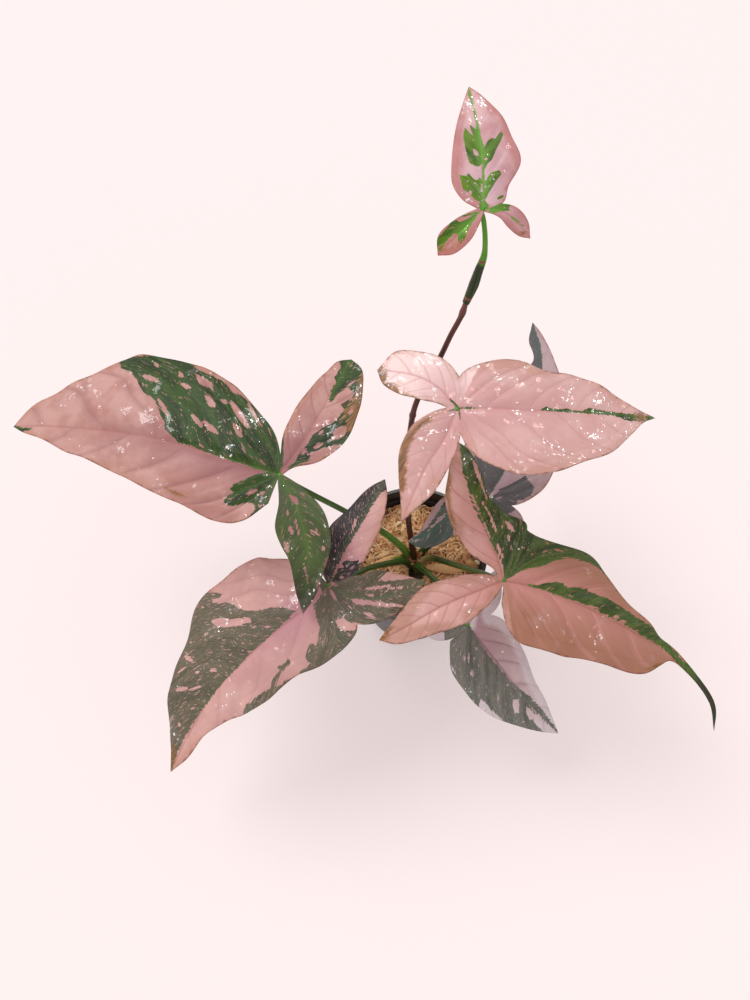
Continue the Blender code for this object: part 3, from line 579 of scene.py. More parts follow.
# Each blade's pattern as seen in the photograph, in its pixels. A stroke is (x, y, x, y, width).
Marks = namedtuple("Marks", "green pink green_strokes pink_strokes brown_strokes", defaults=[()] * 4)
MARKS = {
    "leaf_left": Marks(
        green=(
            (
                (118, 358), (122, 369), (132, 373), (138, 381), (142, 391), (153, 398), (159, 410),
                (164, 422), (164, 428), (171, 435), (178, 442), (193, 446), (206, 452), (224, 458),
                (242, 464), (264, 471), (279, 475), (283, 465), (283, 438), (267, 398), (233, 371),
                (184, 353),
            ),
            (
                (281, 474), (269, 473), (256, 475), (247, 479), (233, 484), (230, 489), (234, 492),
                (228, 496), (223, 502), (228, 505), (233, 506), (242, 504), (247, 502), (254, 504),
                (256, 509), (247, 519), (251, 525), (267, 516), (278, 506), (281, 496),
            ),
            (
                (277, 475), (283, 475), (300, 481), (318, 492), (331, 510), (336, 530), (331, 550),
                (325, 563), (322, 583), (320, 601), (307, 608), (296, 613), (289, 606), (289, 586),
                (286, 568), (271, 548), (270, 532), (273, 514), (278, 496),
            ),
            (
                (338, 360), (349, 352), (367, 358), (367, 369), (358, 377), (352, 382), (345, 388),
                (338, 394), (331, 403), (329, 401), (331, 391), (336, 382), (334, 377), (339, 371),
                (341, 366),
            ),
            (
                (288, 468), (295, 462), (300, 453), (307, 445), (312, 436), (322, 428), (334, 423),
                (340, 416), (345, 409), (341, 404), (352, 399), (355, 392), (349, 388), (358, 377),
                (372, 373), (372, 407), (365, 429), (355, 445), (340, 444), (322, 448), (310, 454),
                (308, 461), (300, 464),
            ),
            ((10, 424), (23, 428), (33, 428), (30, 430), (21, 432), (10, 430)),
        ),
        pink=(
            (
                (187, 360), (200, 371), (212, 376), (222, 381), (228, 387), (233, 393), (241, 395),
                (247, 401), (252, 407), (248, 396), (258, 400), (258, 385), (233, 367), (206, 358),
            ),
            ((195, 373), (204, 377), (212, 382), (214, 392), (208, 388), (199, 384)),
            ((204, 394), (211, 397), (216, 405), (215, 409), (208, 406)),
        ),
        pink_strokes=(
            (144, 376, 158, 381, 5.5), (155, 363, 158, 367, 4), (179, 373, 183, 377, 5),
            (182, 384, 190, 388, 5.5), (158, 399, 168, 415, 4), (193, 415, 201, 426, 5.5),
            (204, 422, 217, 433, 6.5), (234, 424, 241, 436, 6), (231, 402, 248, 427, 6.5),
            (222, 400, 227, 403, 4.5), (241, 443, 245, 452, 3), (259, 459, 265, 465, 3),
            (199, 444, 204, 448, 3), (248, 404, 262, 427, 3.5), (268, 428, 271, 436, 2.5),
            (247, 494, 257, 490, 5), (260, 494, 264, 492, 3.5), (258, 507, 261, 505, 3),
            (291, 496, 297, 503, 6.5), (287, 510, 288, 515, 3.5), (290, 527, 292, 534, 5),
            (285, 542, 288, 552, 5), (310, 530, 319, 535, 3), (316, 527, 317, 531, 3),
            (295, 519, 299, 535, 2), (304, 564, 308, 583, 2.5), (301, 493, 305, 495, 3),
            (322, 550, 325, 546, 3.5), (318, 580, 318, 591, 3.5), (314, 536, 310, 530, 2),
            (328, 516, 330, 525, 2), (334, 438, 345, 428, 10.5), (302, 455, 305, 450, 4),
            (315, 448, 322, 443, 4.5), (319, 434, 322, 431, 3), (349, 414, 355, 405, 6),
            (327, 456, 340, 452, 5.5), (311, 462, 307, 452, 2),
        ),
        brown_strokes=(
            (366, 372, 363, 392, 13), (363, 392, 356, 414, 13), (358, 414, 348, 430, 11),
            (340, 420, 352, 404, 5), (165, 488, 185, 497, 5),
        ),
    ),
    "leaf_front_left": Marks(
        green=(
            (
                (188, 597), (206, 593), (213, 592), (223, 594), (219, 598), (212, 599), (212, 603),
                (219, 604), (225, 603), (234, 604), (236, 608), (247, 611), (261, 610), (273, 608),
                (283, 607), (289, 610), (296, 611), (291, 616), (279, 627), (271, 635), (263, 642),
                (249, 654), (239, 666), (225, 680), (217, 689), (204, 707), (194, 721), (184, 739),
                (178, 751), (172, 767), (170, 776), (162, 775), (164, 727), (164, 688), (172, 648),
                (180, 624),
            ),
            (
                (327, 589), (313, 605), (316, 616), (320, 628), (318, 638), (316, 646), (312, 643),
                (307, 648), (306, 659), (311, 663), (307, 668), (299, 672), (301, 675), (292, 678),
                (283, 682), (287, 689), (302, 680), (322, 672), (342, 660), (362, 642), (378, 630),
                (397, 624), (427, 601), (443, 581), (431, 569), (397, 565), (381, 567), (358, 575),
                (338, 585),
            ),
            (
                (289, 658), (290, 663), (284, 669), (280, 674), (277, 680), (274, 687), (279, 686),
                (287, 682), (283, 693), (263, 707), (246, 715), (244, 712), (247, 705), (255, 699),
                (263, 692), (271, 688), (271, 682), (275, 676), (281, 670), (277, 667), (283, 665),
                (287, 661),
            ),
            (
                (323, 591), (328, 587), (332, 578), (337, 565), (346, 549), (356, 533), (366, 516),
                (376, 500), (382, 493), (391, 486), (381, 472), (366, 482), (350, 496), (332, 514),
                (324, 535), (320, 559), (316, 581),
            ),
            (
                (332, 581), (339, 567), (345, 561), (358, 561), (366, 563), (370, 557), (376, 549),
                (379, 543), (383, 535), (390, 525), (395, 535), (381, 561), (366, 575), (348, 581),
                (338, 584),
            ),
        ),
        pink=(
            (
                (210, 620), (219, 618), (231, 619), (245, 617), (253, 617), (250, 622), (242, 625),
                (236, 627), (223, 627), (216, 626),
            ),
            (
                (351, 599), (356, 598), (374, 601), (389, 603), (405, 605), (402, 608), (385, 607),
                (374, 606), (358, 605), (353, 603),
            ),
            (
                (333, 617), (338, 620), (344, 616), (347, 621), (358, 623), (369, 623), (362, 627),
                (352, 631), (345, 631), (340, 629), (336, 624),
            ),
            (
                (381, 578), (387, 572), (397, 572), (413, 574), (424, 575), (423, 578), (407, 579),
                (393, 581), (379, 581),
            ),
        ),
        pink_strokes=(
            (185, 656, 192, 661, 5), (178, 673, 185, 667, 3), (177, 690, 187, 688, 5),
            (190, 690, 200, 686, 3.5), (209, 671, 216, 670, 3.5), (196, 672, 199, 674, 3.5),
            (185, 652, 188, 654, 2.5), (265, 627, 270, 626, 3), (253, 627, 256, 626, 2.5),
            (247, 653, 251, 652, 2.5), (191, 709, 195, 708, 2), (179, 723, 180, 727, 2),
            (201, 606, 204, 608, 2), (193, 617, 196, 617, 1.5), (190, 642, 192, 643, 1.5),
            (366, 589, 383, 587, 4), (383, 587, 390, 585, 4), (387, 589, 404, 587, 2.5),
            (367, 595, 375, 596, 3), (330, 590, 336, 600, 4), (364, 612, 375, 618, 3.5),
            (322, 595, 327, 594, 3), (349, 606, 354, 609, 2), (379, 591, 389, 591, 1.5),
            (353, 529, 357, 517, 3.5), (339, 565, 343, 567, 4.5), (339, 577, 343, 577, 3.5),
            (358, 563, 364, 560, 2.5), (348, 569, 355, 566, 2.5), (334, 553, 336, 549, 1.5),
            (344, 535, 345, 533, 1.5),
        ),
        brown_strokes=(
            (171, 766, 176, 744, 7),
        ),
    ),
    "leaf_upper_right": Marks(
        green=(
            (
                (539, 410), (547, 406), (549, 408), (557, 409), (568, 409), (575, 411), (582, 411),
                (589, 408), (600, 410), (611, 412), (620, 413), (635, 415), (659, 417), (659, 421),
                (637, 421), (626, 420), (619, 417), (611, 415), (593, 414), (580, 413), (564, 412),
                (549, 411),
            ),
        ),
        green_strokes=(
            (459, 408, 477, 408, 1.5), (449, 398, 459, 408, 2), (448, 412, 459, 408, 2),
            (459, 408, 460, 420, 1.5),
        ),
        brown_strokes=(
            (380, 364, 384, 384, 10), (384, 384, 398, 397, 15), (398, 397, 420, 402, 9),
            (401, 476, 404, 452, 15), (404, 452, 413, 434, 15), (413, 434, 430, 418, 10),
            (401, 474, 402, 490, 9), (390, 352, 404, 350, 4), (636, 414, 645, 419, 9),
        ),
    ),
    "leaf_lower_right": Marks(
        green=(
            (
                (505, 580), (503, 566), (497, 553), (490, 540), (483, 525), (475, 510), (470, 497),
                (467, 483), (463, 473), (461, 454), (460, 440), (470, 434), (478, 449), (488, 469),
                (497, 497), (513, 513), (537, 530), (560, 538), (589, 548), (602, 562), (610, 579),
                (599, 568), (587, 562), (576, 559), (567, 557), (562, 559), (553, 561), (546, 565),
                (537, 567), (529, 568), (521, 571), (514, 575), (508, 578),
            ),
            (
                (527, 585), (539, 585), (547, 583), (556, 582), (563, 584), (567, 587), (586, 589),
                (592, 593), (600, 596), (611, 600), (619, 606), (628, 611), (636, 617), (648, 624),
                (657, 629), (666, 640), (674, 651), (683, 661), (693, 668), (702, 678), (709, 690),
                (716, 699), (716, 708), (719, 735), (712, 735), (709, 709), (700, 696), (690, 680),
                (681, 667), (671, 656), (659, 645), (645, 637), (631, 628), (614, 619), (597, 610),
                (581, 603), (564, 597), (547, 591), (536, 588),
            ),
        ),
        pink_strokes=(
            (472, 495, 479, 512, 3), (479, 512, 490, 538, 2), (481, 500, 490, 515, 3),
            (490, 515, 496, 531, 3), (497, 544, 502, 557, 4), (508, 535, 510, 543, 2.5),
            (510, 543, 512, 551, 2.5), (473, 460, 481, 482, 4.5), (481, 482, 487, 500, 2.5),
            (506, 522, 514, 531, 5), (554, 549, 564, 552, 2), (543, 553, 547, 551, 2),
            (546, 543, 549, 544, 1.5), (502, 526, 504, 528, 2.5), (524, 548, 522, 547, 1.5),
            (467, 476, 468, 480, 1.5), (474, 482, 475, 483, 2), (531, 553, 533, 555, 2),
            (556, 540, 553, 543, 1), (567, 550, 564, 549, 1), (585, 606, 598, 608, 3),
            (613, 618, 619, 616, 3), (619, 622, 626, 621, 4), (569, 595, 571, 596, 1.5),
            (634, 629, 638, 630, 1.5),
        ),
        brown_strokes=(
            (380, 640, 392, 628, 9), (447, 470, 448, 500, 9), (448, 500, 456, 530, 6),
            (640, 668, 676, 664, 7),
        ),
    ),
    "leaf_bottom": Marks(
        green=(
            (
                (470, 627), (476, 637), (482, 646), (490, 657), (497, 665), (504, 674), (511, 682),
                (516, 688), (520, 695), (526, 701), (534, 711), (543, 719), (552, 726), (560, 732),
                (560, 738), (538, 733), (516, 730), (501, 723), (485, 715), (467, 700), (452, 682),
                (444, 662), (444, 645), (445, 634), (440, 630), (445, 624), (462, 621),
            ),
            (
                (511, 681), (518, 687), (524, 692), (530, 697), (538, 705), (544, 712), (550, 721),
                (555, 727), (560, 732), (552, 726), (543, 718), (533, 709), (525, 699), (519, 692),
            ),
        ),
        pink=(
            (
                (479, 704), (481, 699), (485, 702), (490, 708), (494, 712), (502, 719), (504, 725),
                (494, 721), (485, 715), (478, 708),
            ),
            (
                (534, 716), (536, 713), (543, 719), (552, 727), (560, 734), (555, 737), (545, 733),
                (538, 727), (533, 721),
            ),
            ((513, 700), (517, 698), (520, 705), (519, 713), (515, 714), (513, 707)),
            ((526, 707), (529, 708), (533, 712), (535, 715), (532, 721), (528, 719), (526, 712)),
        ),
        pink_strokes=(
            (498, 692, 498, 702, 2), (472, 671, 472, 676, 4), (464, 656, 464, 661, 3),
            (469, 653, 469, 662, 2), (474, 656, 474, 660, 2), (476, 647, 477, 650, 2),
            (452, 666, 454, 673, 3), (466, 681, 465, 683, 1.5), (501, 705, 500, 708, 1.5),
            (515, 688, 516, 690, 1.5), (501, 696, 502, 698, 1), (524, 721, 524, 723, 1),
            (508, 684, 507, 686, 1),
        ),
        brown_strokes=(
            (524, 712, 530, 722, 9),
        ),
    ),
    "leaf_back": Marks(
        green=(
            (
                (530, 318), (533, 321), (537, 336), (540, 341), (542, 355), (542, 369), (539, 401),
                (530, 430), (517, 453), (505, 471), (496, 485), (488, 497), (481, 496), (472, 468),
                (481, 422), (502, 384), (527, 353),
            ),
            (
                (491, 498), (499, 491), (508, 485), (517, 480), (525, 476), (531, 483), (534, 488),
                (530, 496), (517, 501), (514, 511), (502, 517), (490, 508),
            ),
            (
                (408, 543), (414, 537), (424, 531), (432, 521), (440, 509), (448, 495), (453, 511),
                (453, 537), (446, 545), (436, 549), (424, 551), (410, 549),
            ),
        ),
        pink_strokes=(
            (426, 533, 436, 523, 2), (436, 523, 445, 514, 3.5), (412, 541, 421, 540, 1.5),
            (493, 493, 511, 477, 2), (502, 482, 517, 474, 2.5), (496, 499, 502, 497, 2),
        ),
    ),
    "leaf_top": Marks(
        green=(
            (
                (467, 87), (470, 90), (473, 102), (476, 117), (479, 131), (481, 146), (483, 156),
                (480, 156), (479, 139), (476, 124), (473, 111), (470, 99),
            ),
            (
                (463, 134), (465, 128), (468, 131), (470, 134), (473, 136), (471, 130), (469, 123),
                (473, 127), (476, 129), (479, 130), (480, 142), (481, 150), (483, 162), (479, 167),
                (476, 166), (470, 163), (467, 155), (465, 145),
            ),
            (
                (483, 152), (484, 147), (487, 142), (491, 138), (495, 139), (498, 135), (501, 131),
                (503, 135), (501, 140), (498, 146), (495, 153), (492, 160), (489, 162), (487, 165),
                (484, 170), (483, 162),
            ),
            (
                (459, 175), (467, 176), (468, 172), (472, 177), (476, 180), (479, 179), (481, 183),
                (481, 191), (482, 202), (476, 200), (469, 194), (463, 189), (461, 181),
            ),
            (
                (485, 189), (485, 183), (488, 177), (492, 172), (497, 171), (500, 169), (501, 174),
                (498, 178), (494, 183), (491, 189), (488, 194), (485, 202),
            ),
            ((479, 204), (484, 200), (489, 205), (488, 210), (482, 211), (479, 208)),
            (
                (479, 213), (475, 219), (469, 228), (465, 238), (460, 244), (458, 241), (458, 234),
                (454, 233), (447, 240), (443, 247), (440, 252), (435, 247), (435, 241), (441, 235),
                (447, 228), (451, 222), (456, 220), (460, 222), (469, 218), (476, 214),
            ),
            (
                (489, 209), (494, 206), (501, 203), (506, 203), (512, 205), (507, 208), (511, 210),
                (509, 211), (503, 211), (494, 213), (489, 212),
            ),
        ),
        green_strokes=(
            (468, 89, 474, 110, 2.4), (474, 110, 480, 135, 2.4), (480, 135, 483, 152, 2.4),
            (483, 150, 484, 206, 2), (455, 218, 479, 212, 2), (498, 199, 503, 196, 3),
            (511, 217, 524, 226, 2), (482, 183, 479, 178, 2),
        ),
        pink_strokes=(
            (474, 150, 477, 155, 5), (485, 160, 487, 158, 2.5), (470, 191, 471, 194, 3),
            (473, 139, 473, 143, 1.5), (466, 183, 468, 181, 1.5), (476, 183, 477, 186, 1.5),
        ),
        brown_strokes=(
            (440, 248, 452, 246, 7), (452, 246, 462, 238, 5), (526, 232, 520, 234, 5),
        ),
    ),
}


def smooth_path(points, step):
    """Points about a step apart on a smooth curve through the given points."""
    points = np.asarray(points, float)
    padded = np.vstack([2 * points[0] - points[1], points, 2 * points[-1] - points[-2]])
    pieces = []
    for a, b, c, d in zip(padded, padded[1:], padded[2:], padded[3:]):
        t = np.linspace(0, 1, 24, endpoint=False)[:, None]
        square = (2 * a - 5 * b + 4 * c - d) * t**2
        cube = (3 * b - a - 3 * c + d) * t**3
        pieces.append((2 * b + (c - a) * t + square + cube) / 2)
    dense = np.vstack(pieces + [points[-1:]])
    along = np.concatenate([[0], np.cumsum(np.linalg.norm(np.diff(dense, axis=0), axis=1))])
    count = max(2, round(along[-1] / step) + 1)
    even = np.linspace(0, along[-1], count)
    return np.column_stack([np.interp(even, along, column) for column in dense.T])


def rib_line(lobe):
    """The lobe's rib as evenly spaced points, and its length."""
    dense = smooth_path(lobe.rib, 0.5)
    along = np.concatenate([[0], np.cumsum(np.linalg.norm(np.diff(dense, axis=0), axis=1))])
    even = np.linspace(0, along[-1], RIB_SAMPLES)
    return np.column_stack([np.interp(even, along, column) for column in dense.T]), along[-1]


def along_and_across(points, lobe):
    """How far along the lobe's rib each point of the plane lies, and how far to the rib's right."""
    line, length = rib_line(lobe)
    step = length / (RIB_SAMPLES - 1)
    nearest = np.full(len(points), np.inf)
    along = np.zeros(len(points))
    across = np.zeros(len(points))
    last = RIB_SAMPLES - 2
    for i in range(last + 1):
        forward = (line[i + 1] - line[i]) / step
        offset = points - line[i]
        reach = np.clip(offset @ forward, -np.inf if i == 0 else 0, np.inf if i == last else step)
        side = offset[:, 0] * forward[1] - offset[:, 1] * forward[0]
        distance = np.linalg.norm(offset - reach[:, None] * forward, axis=1)
        closer = distance < nearest
        nearest[closer] = distance[closer]
        along[closer] = (i * step + reach)[closer]
        across[closer] = (np.sign(side) * distance)[closer]
    return along, across


def half_widths(lobe, along):
    """Smooth half widths to the left and right of the rib at these distances along it."""
    dense = smooth_path(lobe.margins, 1.0)
    return np.interp(along, dense[:, 0], dense[:, 1]), np.interp(along, dense[:, 0], dense[:, 2])


def greatest_half_width(lobe):
    return max(max(row[1:]) for row in lobe.margins)


def lobe_outline(lobe, step):
    """The lobe's edge as a closed ring of points: out along its right side, and back along its left."""
    line, length = rib_line(lobe)
    count = max(8, round(length / step))
    along = length * (1 - np.cos(np.linspace(0, math.pi, count + 1))) / 2
    samples = np.linspace(0, length, RIB_SAMPLES)
    middle = np.column_stack([np.interp(along, samples, axis) for axis in line.T])
    forward = np.gradient(middle, axis=0)
    forward /= np.linalg.norm(forward, axis=1)[:, None]
    rightward = np.column_stack([forward[:, 1], -forward[:, 0]])
    scale = lobe.margins[-1][0] / length
    left, right = half_widths(lobe, along * scale)
    right_side = middle + rightward * right[:, None]
    left_side = middle - rightward * left[:, None]
    return np.vstack([right_side, left_side[-2::-1]])


def blade_height(points, leaf):
    """How high the blade's middle surface stands over its plane at these points."""
    total = np.zeros(len(points))
    weights = np.zeros(len(points))
    for phase, lobe in enumerate((leaf.main, leaf.left, leaf.right)):
        along, across = along_and_across(points, lobe)
        left, right = half_widths(lobe, np.clip(along, 0, None))
        behind = np.clip(-along, 0, None)
        along = np.clip(along, 0, None)
        fold = np.sqrt(across**2 + FOLD_ROUNDING**2) - FOLD_ROUNDING
        widest = greatest_half_width(lobe)
        rise = along - FLAT_REACH * (1 - np.exp(-along / FLAT_REACH))
        bowl = fold - across**2 / (widest + FOLD_SPREAD)
        height = lobe.lift * rise - lobe.droop * along**2 + lobe.fold * bowl
        width = np.where(across < 0, left, right) + WAVE_MARGIN
        shift = np.where(across < 0, 0, WAVE_SHIFT)
        ripple = np.sin(2 * math.pi * along / WAVE_LENGTH + 2 * phase + shift)
        height += leaf.wave * ripple * np.clip(np.abs(across) / width, 0, 1) ** 2
        weight = (across**2 + behind**2 + BLEND_ROUNDING**2) ** -1.5
        total += weight * height
        weights += weight
    return total / weights


def union_ring(leaf, step):
    """The outer edge of the three lobes together, as one ring of points in the blade's plane."""
    rings = [lobe_outline(lobe, step) for lobe in (leaf.main, leaf.left, leaf.right)]
    points = [Vector(point) for ring in rings for point in ring]
    starts = np.cumsum([0] + [len(ring) for ring in rings])
    edges = [
        (start + i, start + (i + 1) % len(ring))
        for start, ring in zip(starts, rings)
        for i in range(len(ring))
    ]
    corners, _, faces, *_ = delaunay_2d_cdt(points, edges, [], 1, 1e-4)
    sides = {}
    for face in faces:
        for a, b in zip(face, face[1:] + face[:1]):
            sides[(a, b)] = (b, a)
    following = {a: b for a, b in sides if (b, a) not in sides}
    ring = [min(following)]
    while following[ring[-1]] != ring[0]:
        ring.append(following[ring[-1]])
    return np.array([corners[i] for i in ring])


def without_crowding(ring, least):
    """The ring without the points that are nearer than this to the one before."""
    kept = [ring[0]]
    for point in ring[1:]:
        if np.linalg.norm(point - kept[-1]) >= least:
            kept.append(point)
    return np.array(kept)


def distance_to_ring(points, ring):
    """How far each point lies from the ring's nearest side."""
    best = np.full(len(points), np.inf)
    for a, b in zip(ring, np.roll(ring, -1, axis=0)):
        side = b - a
        reach = np.clip(((points - a) @ side) / (side @ side), 0, 1)
        best = np.minimum(best, np.linalg.norm(points - a - reach[:, None] * side, axis=1))
    return best


def inside_grid(ring, step):
    """Points of a triangular grid that keep clear of the ring's sides."""
    low, high = ring.min(axis=0) - step, ring.max(axis=0) + step
    rows = np.arange(low[1], high[1], step * math.sqrt(3) / 2)
    columns = np.arange(low[0], high[0], step)
    grid = np.array([(x + (row % 2) * step / 2, y) for row, y in enumerate(rows) for x in columns])
    return grid[distance_to_ring(grid, ring) > 0.55 * step]


def blade_faces(leaf):
    """The blade as flat triangles in its plane: its points, its faces, and the ring of its edge."""
    ring = without_crowding(union_ring(leaf, OUTLINE_STEP), 0.4 * OUTLINE_STEP)
    points = np.vstack([ring, inside_grid(ring, INSIDE_STEP)])
    edges = [(i, (i + 1) % len(ring)) for i in range(len(ring))]
    corners, _, faces, *_ = delaunay_2d_cdt([Vector(point) for point in points], edges, [], 1, 1e-5)
    used = sorted({corner for face in faces for corner in face})
    place = {corner: i for i, corner in enumerate(used)}
    corners = np.array([corners[i] for i in used])
    return corners, [[place[corner] for corner in face] for face in faces], ring


def photo_pixel(points):
    """The pixel of the photograph that sees each point, and how far each lies in front of the camera."""
    tilt = math.radians(CAMERA_TILT)
    offset = np.asarray(points, float) - CAMERA_PLACE
    depth = offset[:, 1] * math.sin(tilt) - offset[:, 2] * math.cos(tilt)
    up = offset[:, 1] * math.cos(tilt) + offset[:, 2] * math.sin(tilt)
    across = PHOTO_WIDTH / 2 + FOCAL_PIXELS * offset[:, 0] / depth
    down = PHOTO_HEIGHT / 2 - FOCAL_PIXELS * up / depth
    return np.column_stack([across, down]), depth


def on_level(pixel, height):
    """The point at this height that the pixel sees."""
    tilt = math.radians(CAMERA_TILT)
    x = (pixel[0] - PHOTO_WIDTH / 2) / FOCAL_PIXELS
    y = (PHOTO_HEIGHT / 2 - pixel[1]) / FOCAL_PIXELS
    ray = np.array([x, math.sin(tilt) + y * math.cos(tilt), -math.cos(tilt) + y * math.sin(tilt)])
    return np.array(CAMERA_PLACE) + ray * (height - CAMERA_PLACE[2]) / ray[2]


def smooth_share(value, low, high):
    """A share that runs softly from 0 at the low value to 1 at the high one."""
    share = np.clip((value - low) / (high - low), 0, 1)
    return share * share * (3 - 2 * share)


def inside_outline(points, outline):
    """How deep each point lies inside the outline, and less than nothing outside it."""
    ring = np.array(outline, float)
    inside = np.zeros(len(points), bool)
    for (ax, ay), (bx, by) in zip(ring, np.roll(ring, -1, axis=0)):
        crosses = (ay > points[:, 1]) != (by > points[:, 1])
        side = (bx - ax) * (points[:, 1] - ay) / (by - ay if by != ay else 1) + ax
        inside ^= crosses & (points[:, 0] < side)
    return np.where(inside, 1, -1) * distance_to_ring(points, ring)


def inside_stroke(points, stroke):
    """How deep each point lies inside a stroke from one pixel to another, which narrows to its ends."""
    start, end, width = np.array(stroke[:2], float), np.array(stroke[2:4], float), stroke[4]
    side = end - start
    share = np.clip(((points - start) @ side) / (side @ side), 0, 1)
    away = np.linalg.norm(points - start - share[:, None] * side, axis=1)
    return width / 2 * (1 - STROKE_NARROWING * (2 * share - 1) ** 2) - away


def strokes_depth(points, strokes):
    """How deep each pixel lies in the deepest of the strokes."""
    depth = np.full(len(points), FAR_OUTSIDE)
    for stroke in strokes:
        depth = np.maximum(depth, inside_stroke(points, stroke))
    return depth


def pattern_depth(points, marks):
    """How deep each pixel lies in the green of the pattern, and less than nothing in the pink."""
    depth = strokes_depth(points, marks.green_strokes)
    for outline in marks.green:
        depth = np.maximum(depth, inside_outline(points, outline))
    for outline in marks.pink:
        depth = np.minimum(depth, -inside_outline(points, outline))
    return np.minimum(depth, -strokes_depth(points, marks.pink_strokes))


# Of each point: its distance from the nearest rib, how far it is from a seam between two lobes, and its
# place among the veins of its lobe
Veins = namedtuple("Veins", "rib seam start across lobe along widest phase")


def vein_field(points, leaf):
    """For each point, of the lobe whose rib is nearest: what its veins and colours follow."""
    ribs = []
    fields = []
    whole = np.ones(len(points))
    for index, lobe in enumerate((leaf.main, leaf.left, leaf.right)):
        along, across = along_and_across(points, lobe)
        left, right = half_widths(lobe, np.clip(along, 0, None))
        width = np.maximum(np.where(across < 0, left, right), LEAST_HALF_WIDTH)
        widest = greatest_half_width(lobe)
        share = np.clip(np.abs(across) / width, 0, 1.2)
        start = along - np.abs(across) * (VEIN_SLANT + VEIN_CURL * share**2)
        reach = np.hypot(along, across) + 1
        start = np.where(start < 0, start * widest / reach, start)
        wander = np.sin(WANDER_ACROSS * across + WANDER_ALONG * along + 2 * index)
        start = start + VEIN_WANDER * widest * wander
        length = lobe.margins[-1][0]
        phase = np.sign(start) * VEIN_RATE * np.abs(start / widest) ** VEIN_CROWDING
        ribs.append(np.hypot(across, np.clip(-along, 0, None)))
        fields.append((start, across, index * whole, along / length, widest * whole, phase))
    ribs = np.array(ribs)
    owner = np.argmin(ribs, axis=0)
    order = np.sort(ribs, axis=0)
    chosen = np.array(fields)[owner, :, np.arange(len(points))].T
    return Veins(order[0], order[1] - order[0], *chosen)


def ridge(distance, width):
    """A share that is 1 on a line and falls softly away from it."""
    return np.exp(-((distance / width) ** 2))


def blade_relief(veins, edge, pleat):
    """How far the upper side stands up between its veins, and the under side down below rib and veins."""
    spacing = veins.widest / VEIN_RATE
    phase = (veins.phase + 0.5 * (veins.across > 0)) % 1
    between = 4 * phase * (1 - phase)
    finer = 4 * ((2 * phase) % 1) * (1 - (2 * phase) % 1)
    seam_fade = smooth_share(veins.seam, *SEAM_FADE)
    fade = smooth_share(edge, *EDGE_FADE) * smooth_share(veins.rib, *RIB_FADE) * seam_fade
    fade = fade * np.clip(1.2 - veins.along, 0.2, 1)
    pucker = PUCKER * pleat * spacing * (between + FINER_PUCKER * finer) * fade
    tip = np.clip(1.05 - veins.along, 0.15, 1)
    groove = GROOVE * tip * ridge(veins.rib, GROOVE_WIDTH)
    rim_vein = RIM_GROOVE * ridge(edge - RIM_VEIN * veins.widest, RIM_GROOVE_WIDTH) * seam_fade
    ruffle = RUFFLE * np.sin(2 * math.pi * veins.along * veins.widest / RUFFLE_LENGTH * 3 + veins.lobe)
    ruffle = ruffle * np.exp(-edge / RUFFLE_REACH) * smooth_share(veins.rib, *RUFFLE_FADE)
    vein_gap = np.minimum(phase, 1 - phase) * spacing
    keel = KEEL * tip * ridge(veins.rib, KEEL_WIDTH) + UNDER_VEIN * fade * ridge(vein_gap, UNDER_VEIN_WIDTH)
    return pucker - groove - rim_vein + ruffle, keel


def blade_layers(name, veins, edge, places):
    """What the blade's material reads at each point of its upper side."""
    marks, tints = MARKS[name], TINTS[name]
    pixels, depth = photo_pixel(places)
    to_mm = depth / FOCAL_PIXELS
    lobe = veins.lobe.astype(int)
    return {
        "green": pattern_depth(pixels, marks) * to_mm,
        "brown": strokes_depth(pixels, marks.brown_strokes) * to_mm,
        "slate": np.take(tints.slate, lobe),
        "warm": np.take(tints.warm, lobe),
        "tip": smooth_share(veins.along - np.take(tints.tip_from, lobe), 0.0, tints.tip_reach),
        "edge": edge,
        "rib": veins.rib,
        "seam": veins.seam,
        "along": veins.along,
        "across": veins.across,
        "phase": veins.phase,
        "rim_gap": np.abs(edge - RIM_VEIN * veins.widest),
        "grain": np.column_stack([veins.start, veins.across * GRAIN_ACROSS, veins.lobe * GRAIN_LOBE_SHIFT]),
    }


def blade_turn(leaf):
    return np.array(Euler([math.radians(angle) for angle in leaf.turn]).to_matrix())


def make_blade(name, leaf):
    """A fine blade over the CAD blade's middle surface, with what its material needs held at its points."""
    flat, faces, ring = blade_faces(leaf)
    count = len(flat)
    edge = distance_to_ring(flat, ring)
    veins = vein_field(flat, leaf)
    middle = blade_height(flat, leaf) - blade_height(np.zeros((1, 2)), leaf)
    relief, keel = blade_relief(veins, edge, TINTS[name].pleat)
    half = (EDGE_THICKNESS + (MIDDLE_THICKNESS - EDGE_THICKNESS) * smooth_share(edge, 0, EDGE_REACH)) / 2
    upper = np.column_stack([flat, middle + half + relief])
    under = np.column_stack([flat, middle - half + relief - keel])
    places = np.vstack([upper, under]) @ blade_turn(leaf).T + np.array(leaf.junction)
    rim = [int(np.argmin(np.linalg.norm(flat - point, axis=1))) for point in ring]
    sides = [(b, a, a + count, b + count) for a, b in zip(rim, rim[1:] + rim[:1])]
    down = [[corner + count for corner in reversed(face)] for face in faces]
    mesh = make_mesh(name, places, [*faces, *down, *sides])
    for layer, values in blade_layers(name, veins, edge, places[:count]).items():
        hold(mesh, layer, np.concatenate([values, values]))
    hold(mesh, "under", np.repeat([0.0, 1.0], count))
    mesh.shade_smooth()
    mesh.materials.append(blade_material(name, TINTS[name]))
    return add_piece(name, mesh, "leaf_blade", name)


def make_mesh(name, corners, faces):
    """A mesh whose corners are given in millimetres."""
    mesh = bpy.data.meshes.new(name)
    mesh.from_pydata((np.array(corners) * MM).tolist(), [], faces)
    return mesh


